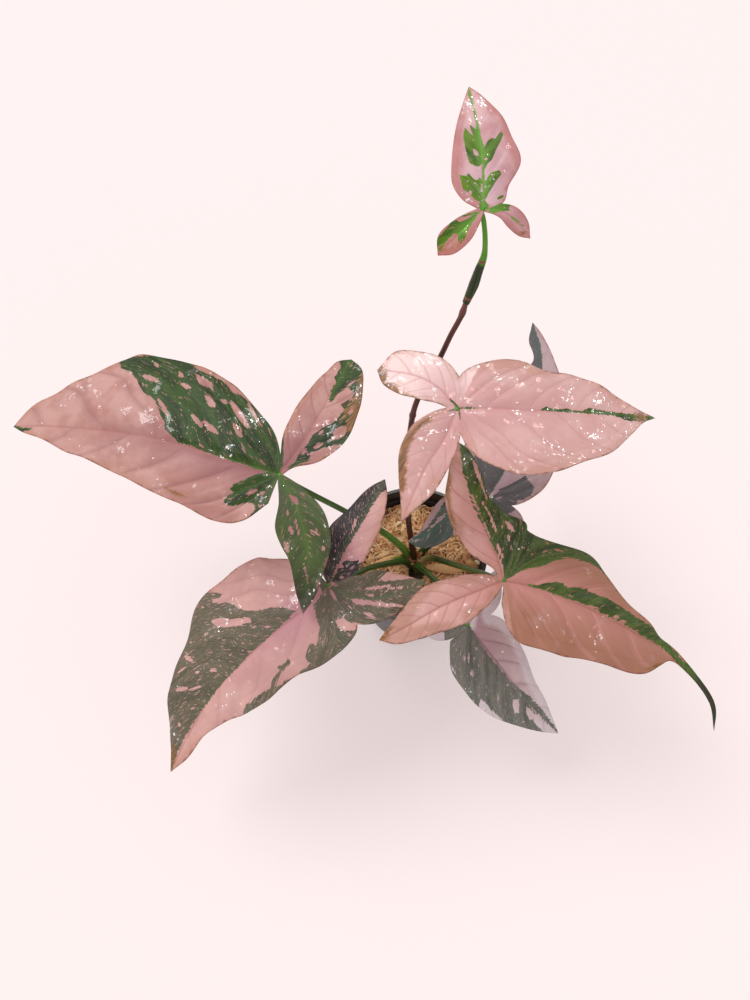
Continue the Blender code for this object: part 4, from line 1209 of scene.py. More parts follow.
def hold(mesh, layer, values):
    """Holds a number, or a row of three, at each point of the mesh."""
    kind, part = ("FLOAT", "value") if np.ndim(values) == 1 else ("FLOAT_VECTOR", "vector")
    mesh.attributes.new(layer, kind, "POINT").data.foreach_set(part, np.ravel(values).astype(float))


def joined(shapes):
    """The corners and faces of many shapes, as those of one."""
    corners, faces = [], []
    for more, sides in shapes:
        start = len(corners)
        corners.extend(more)
        faces.extend(tuple(corner + start for corner in face) for face in sides)
    return corners, faces


def add_object(name, data):
    thing = bpy.data.objects.new(name, data)
    bpy.context.scene.collection.objects.link(thing)
    return thing


def add_piece(name, mesh, slot, *nodes):
    """A finished piece of the plant in the scene, standing for the named nodes."""
    piece = add_object(f"{name}_looks", mesh)
    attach(piece, "root")
    if nodes:
        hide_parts(*nodes)
    return piece


def colour(tint):
    """The linear colour, with its alpha, of an sRGB tint in 0 to 255."""
    parts = [part / 255 for part in tint]
    linear = [part / 12.92 if part <= 0.04045 else ((part + 0.055) / 1.055) ** 2.4 for part in parts]
    return (*linear, 1.0)


def colours(tints):
    return [colour(tint) for tint in tints]


class Value:
    """What a shader node gives, with plain sums of it."""

    def __init__(self, look, socket):
        self.look = look
        self.socket = socket

    def __add__(self, other):
        return self.look.math("ADD", self, other)

    def __sub__(self, other):
        return self.look.math("SUBTRACT", self, other)

    def __rsub__(self, other):
        return self.look.math("SUBTRACT", other, self)

    def __mul__(self, other):
        return self.look.math("MULTIPLY", self, other)


class Look:
    """One material, and short words for its shader nodes."""

    def __init__(self, name):
        self.material = bpy.data.materials.new(name)
        self.material.use_nodes = True
        self.tree = self.material.node_tree
        self.shader = self.tree.nodes["Principled BSDF"]

    def put(self, socket, value):
        if isinstance(value, Value):
            self.tree.links.new(value.socket, socket)
        else:
            socket.default_value = value

    def node(self, kind, output, inputs, **settings):
        """What a new shader node gives, with its inputs by name or number."""
        made = self.tree.nodes.new(kind)
        for setting, value in settings.items():
            setattr(made, setting, value)
        for place, value in inputs.items():
            self.put(made.inputs[place], value)
        return Value(self, made.outputs[output])

    def held(self, layer, output="Fac"):
        """A number that the mesh holds at its points, or with the output Vector a row of three."""
        return self.node("ShaderNodeAttribute", output, {}, attribute_name=layer)

    def place(self):
        return self.node("ShaderNodeTexCoord", "Object", {})

    def math(self, operation, *values):
        return self.node("ShaderNodeMath", 0, dict(enumerate(values)), operation=operation)

    def scaled(self, vector, scale):
        return self.node("ShaderNodeVectorMath", 0, {0: vector, 1: scale}, operation="MULTIPLY")

    def share(self, value, low, high, start=0.0, end=1.0):
        """Runs softly from start to end as the value goes from low to high."""
        inputs = dict(enumerate((value, low, high, start, end)))
        return self.node("ShaderNodeMapRange", 0, inputs, interpolation_type="SMOOTHSTEP")

    def noise(self, vector, scale, detail=2.0, roughness=0.5):
        inputs = {"Vector": vector, "Scale": scale, "Detail": detail, "Roughness": roughness}
        return self.node("ShaderNodeTexNoise", "Fac", inputs)

    def cells(self, vector, scale, feature="DISTANCE_TO_EDGE"):
        inputs = {"Vector": vector, "Scale": scale}
        return self.node("ShaderNodeTexVoronoi", "Distance", inputs, feature=feature)

    def mix(self, share, first, second):
        """The first colour, or as much of the second as the share says."""
        return self.node("ShaderNodeMix", 2, {0: share, 6: first, 7: second}, data_type="RGBA")

    def bump(self, height, distance, strength=1.0):
        inputs = {"Height": height, "Distance": distance * MM, "Strength": strength}
        return self.node("ShaderNodeBump", "Normal", inputs)

    def finish(self, **inputs):
        """The material, with these inputs of its shader."""
        for name, value in inputs.items():
            self.put(self.shader.inputs[name.replace("_", " ")], value)
        return self.material


def side_veins(look, seam):
    """The crease along each side vein, which gets painted shade, its thin line, and the finer lines
    between.
    """
    offset = look.math("GREATER_THAN", look.held("across"), 0.0) * 0.5
    phase = look.math("FRACT", look.held("phase") + (offset + WHOLE_VEINS))
    gap = look.math("MINIMUM", phase, 1.0 - phase)
    half_phase = look.math("FRACT", phase * 2.0)
    half_gap = look.math("MINIMUM", half_phase, 1.0 - half_phase)
    crease = look.share(gap, 0.16, 0.0) * seam
    line = look.share(gap, 0.022, 0.0) * seam
    fine_line = look.share(half_gap, 0.035, 0.0) * seam
    return crease, line, fine_line


def pink_skin(look, tints, crease, line, midrib):
    """Pink skin: clouded, mauve by the rib, mauve in its creases as painted shade, worn at the edge, with
    pores and veins.
    """
    place = look.place()
    along = look.held("along")
    mauve = colour(tints.mauve)
    cloud = look.noise(place, 60.0, 3.0, 0.6) + (along - 0.4) * 0.22
    pink = look.mix(look.share(cloud, 0.36, 0.7), colour(tints.pink), colour(tints.blush))
    # Share of tan for each lobe: its own tone, and painted shade on the lower-right blade's main lobe
    pink = look.mix(look.held("warm"), pink, colour(tints.tan))
    by_rib = look.share(look.held("rib"), 20.0, 0.0) * look.share(along, 0.8, 0.0)
    pink = look.mix(by_rib * 0.85, pink, mauve)
    # Painted shade: the creases along the side veins turn mauve
    pink = look.mix(crease * (0.3 * tints.pleat), pink, mauve)
    pink = worn_edge(look, tints, pink)
    pores = look.share(look.noise(place, 900.0, 2.0), 0.68, 0.76, 0.0, 0.3)
    pink = look.mix(pores, pink, colour(tints.burn))
    seen = look.share(look.noise(place, 45.0, 1.0), 0.35, 0.65, 0.1 * tints.pleat, 0.4 * tints.pleat)
    pink = look.mix(line * seen, pink, colour(tints.vein))
    return look.mix(midrib * 0.5, pink, colour(tints.vein))


def worn_edge(look, tints, pink):
    """The pink with rust that reaches in from the edge in stains, a burnt rim and a frosty margin."""
    edge = look.held("edge")
    mottle = look.noise(look.place(), 260.0, 3.0, 0.65)
    stain = look.noise(look.place(), 34.0, 2.0, 0.6)
    rust_reach = look.share(stain, 0.35, 0.7) * (tints.rust_width * 2) + (mottle - 0.5) * 6.0
    rust = look.share(edge - rust_reach, 3.0, -3.0, 0.0, tints.rusting)
    pink = look.mix(rust, pink, colour(tints.rust))
    burn = look.share(edge - (mottle - 0.42) * 5.0, 0.3, -0.4, 0.0, 0.6)
    pink = look.mix(burn, pink, colour(tints.burn))
    frost = look.share(edge - tints.frost_width, 1.6, -1.6, 0.0, 0.85)
    return look.mix(frost, pink, colour(tints.frost))


def green_skin(look, tints, grain, line, midrib):
    """Green skin: swept along the veins, freckled, slate in some lobes, leaf green on its veins."""
    sweep = look.noise(look.scaled(grain, LONG_GRAIN), 0.12, 3.0, 0.6)
    green = look.mix(look.share(sweep, 0.36, 0.64), colour(tints.dark), colour(tints.green))
    green = look.mix(look.share(look.held("slate"), 0.0, 1.0), green, colour(tints.slate_green))
    spots = look.noise(grain, 0.6, 4.0, 0.75)
    green = look.mix(look.share(spots, 0.54, 0.66, 0.0, 0.75), green, colour(tints.olive))
    by_rib = look.share(look.held("rib"), 4.0, 0.5, 0.0, tints.rib_green)
    for share in (by_rib, line * 0.18, midrib * tints.rib_green):
        green = look.mix(share, green, colour(tints.leaf_green))
    return green


def green_cover(look, tints, grain):
    """Where the green is: the drawn pattern with a ragged edge, less its flecks and dots of pink."""
    long_grain = look.scaled(grain, LONG_GRAIN)
    ragged = look.noise(long_grain, 0.8, 4.0, 0.7) - 0.5
    tooth = look.cells(long_grain, 0.7, "F1") - 0.45
    wander = (ragged * 3.6 + tooth * 1.1) * tints.ragged
    depth = look.held("green")
    mask = look.share(depth + wander, -0.1, 0.1)
    streaks = look.noise(look.scaled(grain, (1.0, 0.75, 1.0)), 0.85, 2.5, 0.5)
    fleck = look.share(streaks, tints.fleck_level, tints.fleck_level + 0.015)
    dots = look.noise(look.scaled(grain, (1.0, 1.1, 1.0)), 2.2, 1.5, 0.5)
    dot = look.share(dots, tints.dot_level, tints.dot_level + 0.02)
    gone = look.math("MAXIMUM", fleck, dot) * look.share(depth, 0.2, 1.0)
    return mask * (1.0 - gone)


def dried_skin(look, tints, base, grain):
    """Browned stretches of the edge, speckled dark and straw."""
    dark, brown, straw = colours(DRIED_TINTS)
    speckle = look.noise(look.scaled(grain, (1.0, 0.7, 1.0)), 0.75, 3.0, 0.75)
    dried = look.mix(look.share(speckle, 0.42, 0.5), dark, brown)
    dried = look.mix(look.share(speckle, 0.58, 0.64), dried, straw)
    depth = look.math("MINIMUM", look.held("brown"), tints.dried_width - look.held("edge"))
    reach = depth + (speckle - 0.5) * 9.0
    return look.mix(look.share(reach, -0.5, 0.8, 0.0, 0.9), base, dried)


def wet_film(look, dryness, topside):
    """Where a film of water lies on the top side, where white highlights are painted into its colour, and
    how high its ripples stand.
    """
    place = look.place()
    film = look.noise(place, 70.0, 3.0, 0.6)
    wet = look.share(film, dryness, dryness + 0.012) * topside
    patch_share = look.share(film, dryness - 0.02, dryness + 0.01) * topside
    # Spots where a white highlight is painted into the colour
    painted_glint_spots = look.noise(look.scaled(place, (1.0, 0.8, 1.0)), 520.0, 1.0, 0.4)
    glint = look.share(painted_glint_spots, 0.69, 0.705) * patch_share
    swell = look.share(film, dryness - 0.02, dryness + 0.08)
    ripples = look.noise(look.scaled(place, (1.0, 0.7, 1.0)), 330.0, 1.5, 0.5)
    return wet, glint, ripples * swell


def blade_material(name, tints):
    """Pink and green variegated blade, wet in patches, with highlights painted white into its colour there.
    """
    look = Look(f"{name}_blade")
    grain = look.held("grain", "Vector")
    under = look.held("under")
    crease, line, fine_line = side_veins(look, look.share(look.held("seam"), 0.2, 2.0))
    midrib = look.share(look.held("rib"), 0.9, 0.2)
    pink = pink_skin(look, tints, crease, line, midrib)
    green = green_skin(look, tints, grain, line, midrib)
    base = look.mix(green_cover(look, tints, grain), pink, green)
    base = dried_skin(look, tints, base, grain)
    # Darker towards a lobe's end: the lower-right blade's own dark tail, and painted shade on the left
    # blade's lower lobe
    base = look.mix(look.held("tip") * 0.85, base, colour(DARK_TIP_AND_SHADE_TINT))
    base = look.mix(under * 0.4, base, colour(tints.pale))
    relief = look.noise(look.place(), 1500.0, 2.0, 0.6) * 0.3
    rim_vein = look.share(look.held("rim_gap"), 0.5, 0.0)
    for groove, depth in ((line, 0.5), (fine_line, 0.25), (rim_vein, 0.5), (midrib, 0.7)):
        relief = relief - groove * depth
    wet, glint, ripples = wet_film(look, tints.dryness, 1.0 - under)
    return look.finish(
        # Painted highlight: white spots mixed into the blade's colour in its wet patches
        Base_Color=look.mix(glint * 0.9, base, colour(PAINTED_GLINT_TINT)),
        Roughness=look.share(wet, 0.0, 1.0, 0.56, 0.4) + under * 0.2,
        Normal=look.bump(relief, 0.15, 0.8),
        Specular_IOR_Level=0.25,
        Coat_Weight=wet,
        Coat_Roughness=0.05,
        Coat_Normal=look.bump(ripples, 0.5),
    )


def ring_frames(points):
    """Two side directions at each point of a path, which turn as little as they can on the way."""
    forward = np.gradient(points, axis=0)
    forward /= np.linalg.norm(forward, axis=1)[:, None]
    side = np.cross(forward[0], (0.3, 1, 0.2))
    sides = []
    for direction in forward:
        side = side - direction * (side @ direction)
        side = side / np.linalg.norm(side)
        sides.append(side)
    sides = np.array(sides)
    return sides, np.cross(forward, sides)


def tube_shape(points, radii, sides, flute=0.0):
    """Corners and faces of a closed tube along the points, with a radius at each point."""
    across, over = ring_frames(points)
    turns = np.linspace(0, 2 * math.pi, sides, endpoint=False)[None, :, None]
    reach = radii[:, None, None] * (1 + flute * np.cos(TUBE_FLUTES * turns))
    rings = points[:, None] + reach * (across[:, None] * np.cos(turns) + over[:, None] * np.sin(turns))
    corners = np.vstack([rings.reshape(-1, 3), points[:1], points[-1:]])
    first = len(points) * sides
    faces = []
    for i in range(sides):
        j = (i + 1) % sides
        for start in range(0, first - sides, sides):
            faces.append((start + i, start + j, start + j + sides, start + i + sides))
        faces.append((j, i, first))
        faces.append((first - sides + i, first - sides + j, first + 1))
    return corners, faces


def with_round_end(points, radii):
    """The path with a half ball at its end."""
    forward = points[-1] - points[-2]
    forward /= np.linalg.norm(forward)
    turns = np.linspace(0, math.pi / 2, 6)[1:]
    more = points[-1] + forward * radii[-1] * np.sin(turns)[:, None]
    end_radii = radii[-1] * np.maximum(np.cos(turns), 0.03)
    return np.vstack([points, more]), np.concatenate([radii, end_radii])


def make_tube(name, path, radii, swellings=()):
    """A fleshy stem along a smooth path, with what its material needs held at its points."""
    points = smooth_path(path, TUBE_STEP)
    share = np.linspace(0, 1, len(points))
    thickness = np.interp(share, np.linspace(0, 1, len(radii)), radii)
    for middle, length, growth in swellings:
        away = (share - middle) * len(points) * TUBE_STEP / length
        thickness = thickness * (1 + growth * np.exp(-(away**2)))
    points, thickness = with_round_end(points, thickness)
    corners, faces = tube_shape(points, thickness, TUBE_SIDES, TUBE_FLUTE_DEPTH)
    mesh = make_mesh(name, corners, faces)
    far = np.arange(len(points)) * TUBE_STEP
    turns = np.linspace(0, 2 * math.pi, TUBE_SIDES, endpoint=False)
    grain = np.zeros((len(corners), 3))
    grain[:-2, 0] = np.tile(np.cos(turns) * TUBE_GRAIN_RADIUS, len(points))
    grain[:-2, 1] = np.tile(np.sin(turns) * TUBE_GRAIN_RADIUS, len(points))
    grain[:-2, 2] = np.repeat(far, TUBE_SIDES)
    grain[-1, 2] = far[-1]
    hold(mesh, "grain", grain)
    hold(mesh, "share", np.clip(grain[:, 2] / far[-1], 0, 1))
    mesh.shade_smooth()
    return mesh


def over_blade(leaf, heights):
    """The points this far over the blade's middle at its junction."""
    return [tuple(blade_turn(leaf) @ (0, 0, height) + np.array(leaf.junction)) for height in heights]


def stem_streaks(look, grain):
    return look.noise(look.scaled(grain, (1.6, 1.6, 0.05)), 1.0, 3.0, 0.6)


def finish_stem(look, grain, base, roughness):
    """The material of a stem, which has fine lengthwise ridges and a thin gloss."""
    ridges = look.noise(look.scaled(grain, (4.0, 4.0, 0.12)), 1.0, 2.0, 0.6)
    return look.finish(
        Base_Color=base,
        Roughness=roughness,
        Normal=look.bump(ridges, 0.12, 0.7),
        Specular_IOR_Level=0.25,
        Coat_Weight=0.1,
        Coat_Roughness=0.12,
    )


def stem_material(name, tints):
    """Fleshy skin with fine lengthwise streaks, another tint at its foot and at its top, and blotches."""
    look = Look(name)
    grain = look.held("grain", "Vector")
    share = look.held("share")
    deep, skin, foot, top = colours(tints[:4])
    base = look.mix(look.share(stem_streaks(look, grain), 0.35, 0.65), deep, skin)
    base = look.mix(look.share(share, 0.0, tints.foot_reach, 0.85, 0.0), base, foot)
    base = look.mix(look.share(share, tints.top_from, 1.0, 0.0, 0.9), base, top)
    blotch = look.noise(look.scaled(grain, (1.0, 1.0, 0.35)), 0.9, 3.0, 0.6)
    base = look.mix(look.share(blotch, 0.6, 0.72, 0.0, 0.5), base, deep)
    fleck = look.noise(look.scaled(grain, (3.0, 3.0, 1.2)), 1.6, 2.0, 0.5)
    base = look.mix(look.share(fleck, 0.66, 0.72, 0.0, 0.35), base, foot)
    return finish_stem(look, grain, base, look.share(blotch, 0.3, 0.7, 0.26, 0.42))


def add_stem(name, slot, mesh, material):
    mesh.materials.append(material)
    add_piece(name, mesh, slot, name)


def make_petioles():
    """The petioles of the crown, and the one that leaves the climbing stem, up to their blades."""
    for name, petiole in CROWN_PETIOLES.items():
        levels = (SOIL_TOP - HOLE_DEPTH, SOIL_TOP, SOIL_TOP + FOOT_RISE)
        foot = [(*petiole.foot, level) for level in levels]
        path = [*foot, *petiole.route, *over_blade(LEAVES[petiole.leaf], PETIOLE_ENDS)]
        mesh = make_tube(name, path, PETIOLE_RADII, PETIOLE_SWELLINGS)
        add_stem(name, "green_petiole", mesh, stem_material(f"{name}_skin", petiole.tints))
    name = "petiole_upper_right"
    path = [*UPPER_PETIOLE_PATH, *over_blade(LEAVES["leaf_upper_right"], PETIOLE_ENDS)]
    mesh = make_tube(name, path, PETIOLE_RADII[1:], PETIOLE_SWELLINGS)
    add_stem(name, "green_petiole", mesh, stem_material(f"{name}_skin", PETIOLE_TINTS))


def make_stems():
    """The climbing stem, the sheath and petiole that carry it on, and the young shoot."""
    stem = make_tube("stem", STEM_PATH, STEM_RADII, STEM_SWELLINGS)
    add_stem("stem", "woody_stem", stem, stem_material("stem_skin", STEM_TINTS))
    path = [STEM_PATH[-1], *TOP_PETIOLE_PATH, *over_blade(LEAVES["leaf_top"], TOP_PETIOLE_ENDS)]
    top = make_tube("petiole_top", path, (*SHEATH_RADII, TOP_PETIOLE_RADIUS, TOP_PETIOLE_RADIUS))
    add_stem("petiole_top", "green_petiole", top, sheath_material())
    shoot = make_tube("young_shoot", SHOOT_PATH, SHOOT_RADII)
    add_stem("young_shoot", "green_petiole", shoot, stem_material("shoot_skin", SHOOT_TINTS))


def sheath_material():
    """Bright green petiole that rises out of a dark sheath with rusty rings at its ends."""
    look = Look("sheath_skin")
    grain = look.held("grain", "Vector")
    share = look.held("share")
    streak = stem_streaks(look, grain)
    bright = look.mix(look.share(streak, 0.3, 0.7), *colours(TOP_PETIOLE_TINTS))
    sheath = look.mix(look.share(streak, 0.4, 0.6), *colours(SHEATH_TINTS))
    base = look.mix(look.share(share + streak * 0.08, *SHEATH_END), sheath, bright)
    for middle in SHEATH_RINGS:
        ring = look.share(look.math("ABSOLUTE", share - middle), 0.016, 0.008)
        base = look.mix(ring, base, colour(SHEATH_RING_TINT))
    return finish_stem(look, grain, base, 0.34)


def pot_radius(height):
    """The pot's outer radius at this height, below its collar."""
    return BASE_RADIUS + (BODY_TOP_RADIUS - BASE_RADIUS) * height / STEP_HEIGHT


def pot_inner_radius(height):
    return pot_radius(height) - POT_WALL


def soil_level(x, y):
    """The height of the substrate's lumpy top."""
    away = math.dist((x, y), HOLLOW_PLACE) / HOLLOW_RADIUS
    lumps = SOIL_LUMP * noise.fractal(Vector((x, y, 3)) * SOIL_LUMP_RATE, 0.7, 2.2, 5)
    return SOIL_TOP + lumps - HOLLOW_DEPTH * math.exp(-(away**4))


def in_soil(x, y, margin):
    """The place, drawn in if it is nearer than the margin to the pot's wall."""
    reach = math.hypot(x, y)
    most = pot_inner_radius(SOIL_TOP) - margin
    return (x, y) if reach < most else (x * most / reach, y * most / reach)


def make_soil_body():
    """The closed body of the substrate, with a lumpy top."""
    top_radius = pot_inner_radius(SOIL_TOP) - GAP
    corners = []
    for ring in range(SOIL_RINGS + 1):
        points = ring_points(top_radius * ring / SOIL_RINGS, SOIL_SIDES)
        corners.extend((x, y, soil_level(x, y)) for x, y in points)
    bottom = POT_WALL + GAP
    corners.extend((x, y, bottom) for x, y in ring_points(pot_inner_radius(bottom) - GAP, SOIL_SIDES))
    faces = []
    for start in range(0, (SOIL_RINGS + 1) * SOIL_SIDES, SOIL_SIDES):
        for i in range(SOIL_SIDES):
            j = (i + 1) % SOIL_SIDES
            faces.append((start + i, start + i + SOIL_SIDES, start + j + SOIL_SIDES, start + j))
    faces.append([(SOIL_RINGS + 1) * SOIL_SIDES + i for i in reversed(range(SOIL_SIDES))])
    mesh = make_mesh("substrate", corners, faces)
    shape = bmesh.new()
    shape.from_mesh(mesh)
    bmesh.ops.remove_doubles(shape, verts=shape.verts, dist=1e-6)
    shape.to_mesh(mesh)
    shape.free()
    mesh.shade_smooth()
    mesh.materials.append(soil_material())
    add_piece("substrate", mesh, "substrate", "substrate")


def soil_material():
    """Brown crumbs with painted shade in the gaps between them."""
    look = Look("substrate_bed")
    place = look.place()
    crumbs = look.noise(place, 700.0, 4.0, 0.7)
    base = look.mix(look.share(crumbs, 0.35, 0.7), *colours(SOIL_TINTS))
    grit = look.cells(place, 500.0)
    # Painted shade: near black in the gaps between the crumbs
    base = look.mix(look.share(grit, 0.1, 0.0, 0.0, 0.7), base, colour(SOIL_GAP_SHADE_TINT))
    base = with_hollow_shade(look, base)
    return look.finish(Base_Color=base, Roughness=0.95, Normal=look.bump(crumbs + grit, 1.2, 1.0))


def with_hollow_shade(look, base):
    """The colour, darkened with painted shade in the hollow before the crown."""
    middle = [part * MM for part in (*HOLLOW_PLACE, SOIL_TOP - HOLLOW_DEPTH)]
    away = look.node("ShaderNodeVectorMath", "Value", {0: look.place(), 1: middle}, operation="DISTANCE")
    # Painted shade: near black towards the hollow's middle
    patch_share = look.share(away, 1.5 * HOLLOW_RADIUS * MM, 0.9 * HOLLOW_RADIUS * MM, 0.0, 0.9)
    return look.mix(patch_share, base, colour(HOLLOW_SHADE_TINT))


def husk_material():
    """Coconut husk, from brown to straw, in the tint that each piece holds."""
    look = Look("husk")
    tint = look.held("tint")
    brown, tan, straw, pale = colours(HUSK_TINTS)
    base = look.mix(look.share(tint, 0.05, 0.35), brown, tan)
    base = look.mix(look.share(tint, 0.35, 0.7), base, straw)
    base = look.mix(look.share(tint, 0.75, 1.0), base, pale)
    red = look.math("GREATER_THAN", look.math("FRACT", tint * 37.0), 0.88)
    base = look.mix(red * 0.6, base, colour(RED_HUSK_TINT))
    grit = look.noise(look.place(), 1400.0, 3.0, 0.7)
    base = look.mix(look.share(grit, 0.54, 0.74, 0.0, 0.45), base, colour(HUSK_GRIT_TINT))
    base = with_hollow_shade(look, base)
    return look.finish(Base_Color=base, Roughness=0.8, Normal=look.bump(grit, 0.2, 0.8))


def random_place(chance, margin):
    """A place on the substrate, evenly spread."""
    reach = (pot_inner_radius(SOIL_TOP) - margin) * math.sqrt(chance.random())
    angle = chance.uniform(0, 2 * math.pi)
    return reach * math.cos(angle), reach * math.sin(angle)


def fibre_line(chance):
    """A curly line that lies on the substrate and rises here and there."""
    start_margin, margin = FIBRE_MARGINS
    x, y = random_place(chance, start_margin)
    heading = chance.uniform(0, 2 * math.pi)
    bend = chance.gauss(0, FIBRE_BEND)
    step = chance.uniform(*FIBRE_LENGTHS) / (FIBRE_STEPS - 1)
    lift = chance.uniform(0.0, FIBRE_LIFT)
    lean = chance.uniform(0, math.pi)
    line = []
    for i in range(FIBRE_STEPS):
        x, y = in_soil(x, y, margin)
        share = i / (FIBRE_STEPS - 1)
        rise = FIBRE_REST + lift * math.sin(math.pi * share + lean * 0.3) ** 2
        line.append((x, y, soil_level(x, y) + rise))
        heading += bend + chance.gauss(0, FIBRE_WOBBLE)
        x += step * math.cos(heading)
        y += step * math.sin(heading)
    return np.array(line)


def make_fibres():
    """Loose husk fibres over the substrate."""
    chance = random.Random(FIBRE_SEED)
    taper = np.interp(np.linspace(0, 1, FIBRE_STEPS), (0, 0.2, 0.8, 1), (0.35, 1, 1, 0.3))
    shapes, tints = [], []
    for _ in range(FIBRES):
        line = fibre_line(chance)
        radius = chance.uniform(*FIBRE_RADII)
        shapes.append(tube_shape(line, radius * taper, FIBRE_SIDES))
        tints.append(chance.betavariate(1.6, 1.5))
    add_husk("fibres", shapes, tints)


def chip_shape(chance):
    """Corners and faces of one shard of husk, a bar that narrows to its ends."""
    x, y = random_place(chance, CHIP_MARGIN)
    size = Vector([chance.uniform(*sizes) for sizes in (CHIP_LENGTHS, CHIP_WIDTHS, CHIP_HEIGHTS)])
    turn = Euler((chance.uniform(-0.5, 0.5), chance.uniform(-0.4, 0.4), chance.uniform(0, math.pi)))
    place = Vector((x, y, soil_level(x, y) + chance.uniform(*CHIP_RISES)))
    corners = []
    for along, slim in CHIP_SECTIONS:
        for side, up in ((-1, -1), (1, -1), (1, 1), (-1, 1)):
            jitter = 1 + chance.uniform(-0.2, 0.2)
            corner = Vector((along * size.x, side * size.y / 2 * slim * jitter, up * size.z / 2 * slim))
            corners.append(place + turn.to_matrix() @ corner)
    last = len(corners) - 4
    faces = [(3, 2, 1, 0), tuple(range(last, last + 4))]
    for ring in range(0, last, 4):
        for i in range(4):
            a, b = ring + i, ring + (i + 1) % 4
            faces.append((a, b, b + 4, a + 4))
    return corners, faces


def make_chips():
    """Broken shards of husk among the fibres."""
    chance = random.Random(CHIP_SEED)
    shapes, tints = [], []
    for _ in range(CHIPS):
        shapes.append(chip_shape(chance))
        tints.append(chance.betavariate(1.4, 1.6))
    add_husk("chips", shapes, tints)


def strip_shape(start, end, width, up, curl, arch):
    """Corners and faces of a thin strip from start to end, widest in its middle, curled up at its sides."""
    way = np.array(end, float) - start
    side = np.cross(up, way)
    side /= np.linalg.norm(side)
    lift = np.cross(way / np.linalg.norm(way), side)
    corners = []
    for layer in (0, 1):
        for u in np.linspace(0, 1, STRIP_ROWS):
            half = width / 2 * math.sin(math.pi * (0.06 + 0.88 * u)) ** 0.6
            for v in np.linspace(-1, 1, STRIP_COLUMNS):
                rise = arch * math.sin(math.pi * u) + curl * half * v * v - layer * STRIP_THICKNESS
                corners.append(start + way * u + side * half * v + lift * rise)
    under = STRIP_ROWS * STRIP_COLUMNS
    faces = []
    for row in range(STRIP_ROWS - 1):
        for column in range(STRIP_COLUMNS - 1):
            a = row * STRIP_COLUMNS + column
            top = (a, a + 1, a + 1 + STRIP_COLUMNS, a + STRIP_COLUMNS)
            faces.append(tuple(reversed(top)))
            faces.append(tuple(corner + under for corner in top))
    last = STRIP_COLUMNS - 1
    rim = [(0, column) for column in range(last)]
    rim += [(row, last) for row in range(STRIP_ROWS - 1)]
    rim += [(STRIP_ROWS - 1, column) for column in range(last, 0, -1)]
    rim += [(row, 0) for row in range(STRIP_ROWS - 1, 0, -1)]
    numbers = [row * STRIP_COLUMNS + column for row, column in rim]
    for a, b in zip(numbers, numbers[1:] + numbers[:1]):
        faces.append((a, b, b + under, a + under))
    return corners, faces


def make_scales():
    """Dried husk strips on the substrate, and the papery remains of old sheaths round the crown."""
    shapes = []
    for strip in HUSKS:
        start, end = (on_level(pixel, SOIL_TOP + HUSK_RISE) for pixel in (strip.start, strip.end))
        shapes.append(strip_shape(start, end, strip.width, (0, 0, 1), STRIP_CURL, strip.arch))
    for scale in SCALES:
        turn = math.radians(scale.turn)
        out = np.array((math.cos(turn), math.sin(turn), 0))
        foot = out * scale.reach + (0, 0, SOIL_TOP - 1)
        tip = foot + out * scale.lean + (0, 0, scale.height)
        shapes.append(strip_shape(foot, tip, scale.width, -out, SCALE_CURL, SCALE_ARCH))
    add_husk("crown_scales", shapes, [thing.tint for thing in (*HUSKS, *SCALES)])


def add_husk(name, shapes, tints):
    """One piece of many shards of husk, each with its own tint."""
    mesh = make_mesh(name, *joined(shapes))
    hold(mesh, "tint", np.repeat(tints, [len(corners) for corners, _ in shapes]))
    mesh.materials.append(husk_material())
    add_piece(name, mesh, "substrate")


def rounding(radius, height, reach, start, end, count):
    """Rows of the pot's section on an arc about this middle, from a start to an end in degrees."""
    turns = np.radians(np.linspace(start, end, count))
    return [(radius + reach * math.cos(turn), height + reach * math.sin(turn), 0) for turn in turns]


def pot_profile():
    """The pot's section from inside its floor, over the rim and down to the foot.

    Each row is (radius, height, share of the collar's rib that is cut into it).
    """
    collar = RIM_RADIUS - LIP_DEPTH
    inner = collar - POT_WALL
    lip_foot = POT_HEIGHT - LIP_HEIGHT
    round_out = rounding(RIM_RADIUS - LIP_ROUNDING, POT_HEIGHT - LIP_ROUNDING, LIP_ROUNDING, 90, 0, 6)
    round_in = rounding(inner + MOUTH_ROUNDING, POT_HEIGHT - MOUTH_ROUNDING, MOUTH_ROUNDING, 180, 90, 5)
    return [
        (pot_inner_radius(POT_WALL) - 2, POT_WALL, 0),
        (pot_inner_radius(POT_WALL), POT_WALL + FOOT_ROUNDING, 0),
        *[(pot_inner_radius(height), height, 0) for height in (20, 40, 60, STEP_HEIGHT)],
        (inner, STEP_HEIGHT + COLLAR_STEP, 0),
        *round_in,
        *round_out,
        (RIM_RADIUS, lip_foot + CHAMFER, 0),
        (RIM_RADIUS - CHAMFER, lip_foot, 0),
        *[(collar, lip_foot - gap, share) for share, gap in enumerate(RIB_TOP_GAPS)],
        *reversed([(collar, STEP_HEIGHT + gap, share) for share, gap in enumerate(RIB_FOOT_GAPS)]),
        (collar - CHAMFER, STEP_HEIGHT, 0),
        (pot_radius(STEP_HEIGHT - COLLAR_STEP), STEP_HEIGHT - COLLAR_STEP, 0),
        *[(pot_radius(height), height, 0) for height in (60, 45, 30, 15, 2.5)],
        (pot_radius(1) - 0.1, 1.2, 0),
        (BASE_RADIUS - 0.6, 0.3, 0),
        (BASE_RADIUS - FOOT_ROUNDING, 0, 0),
    ]


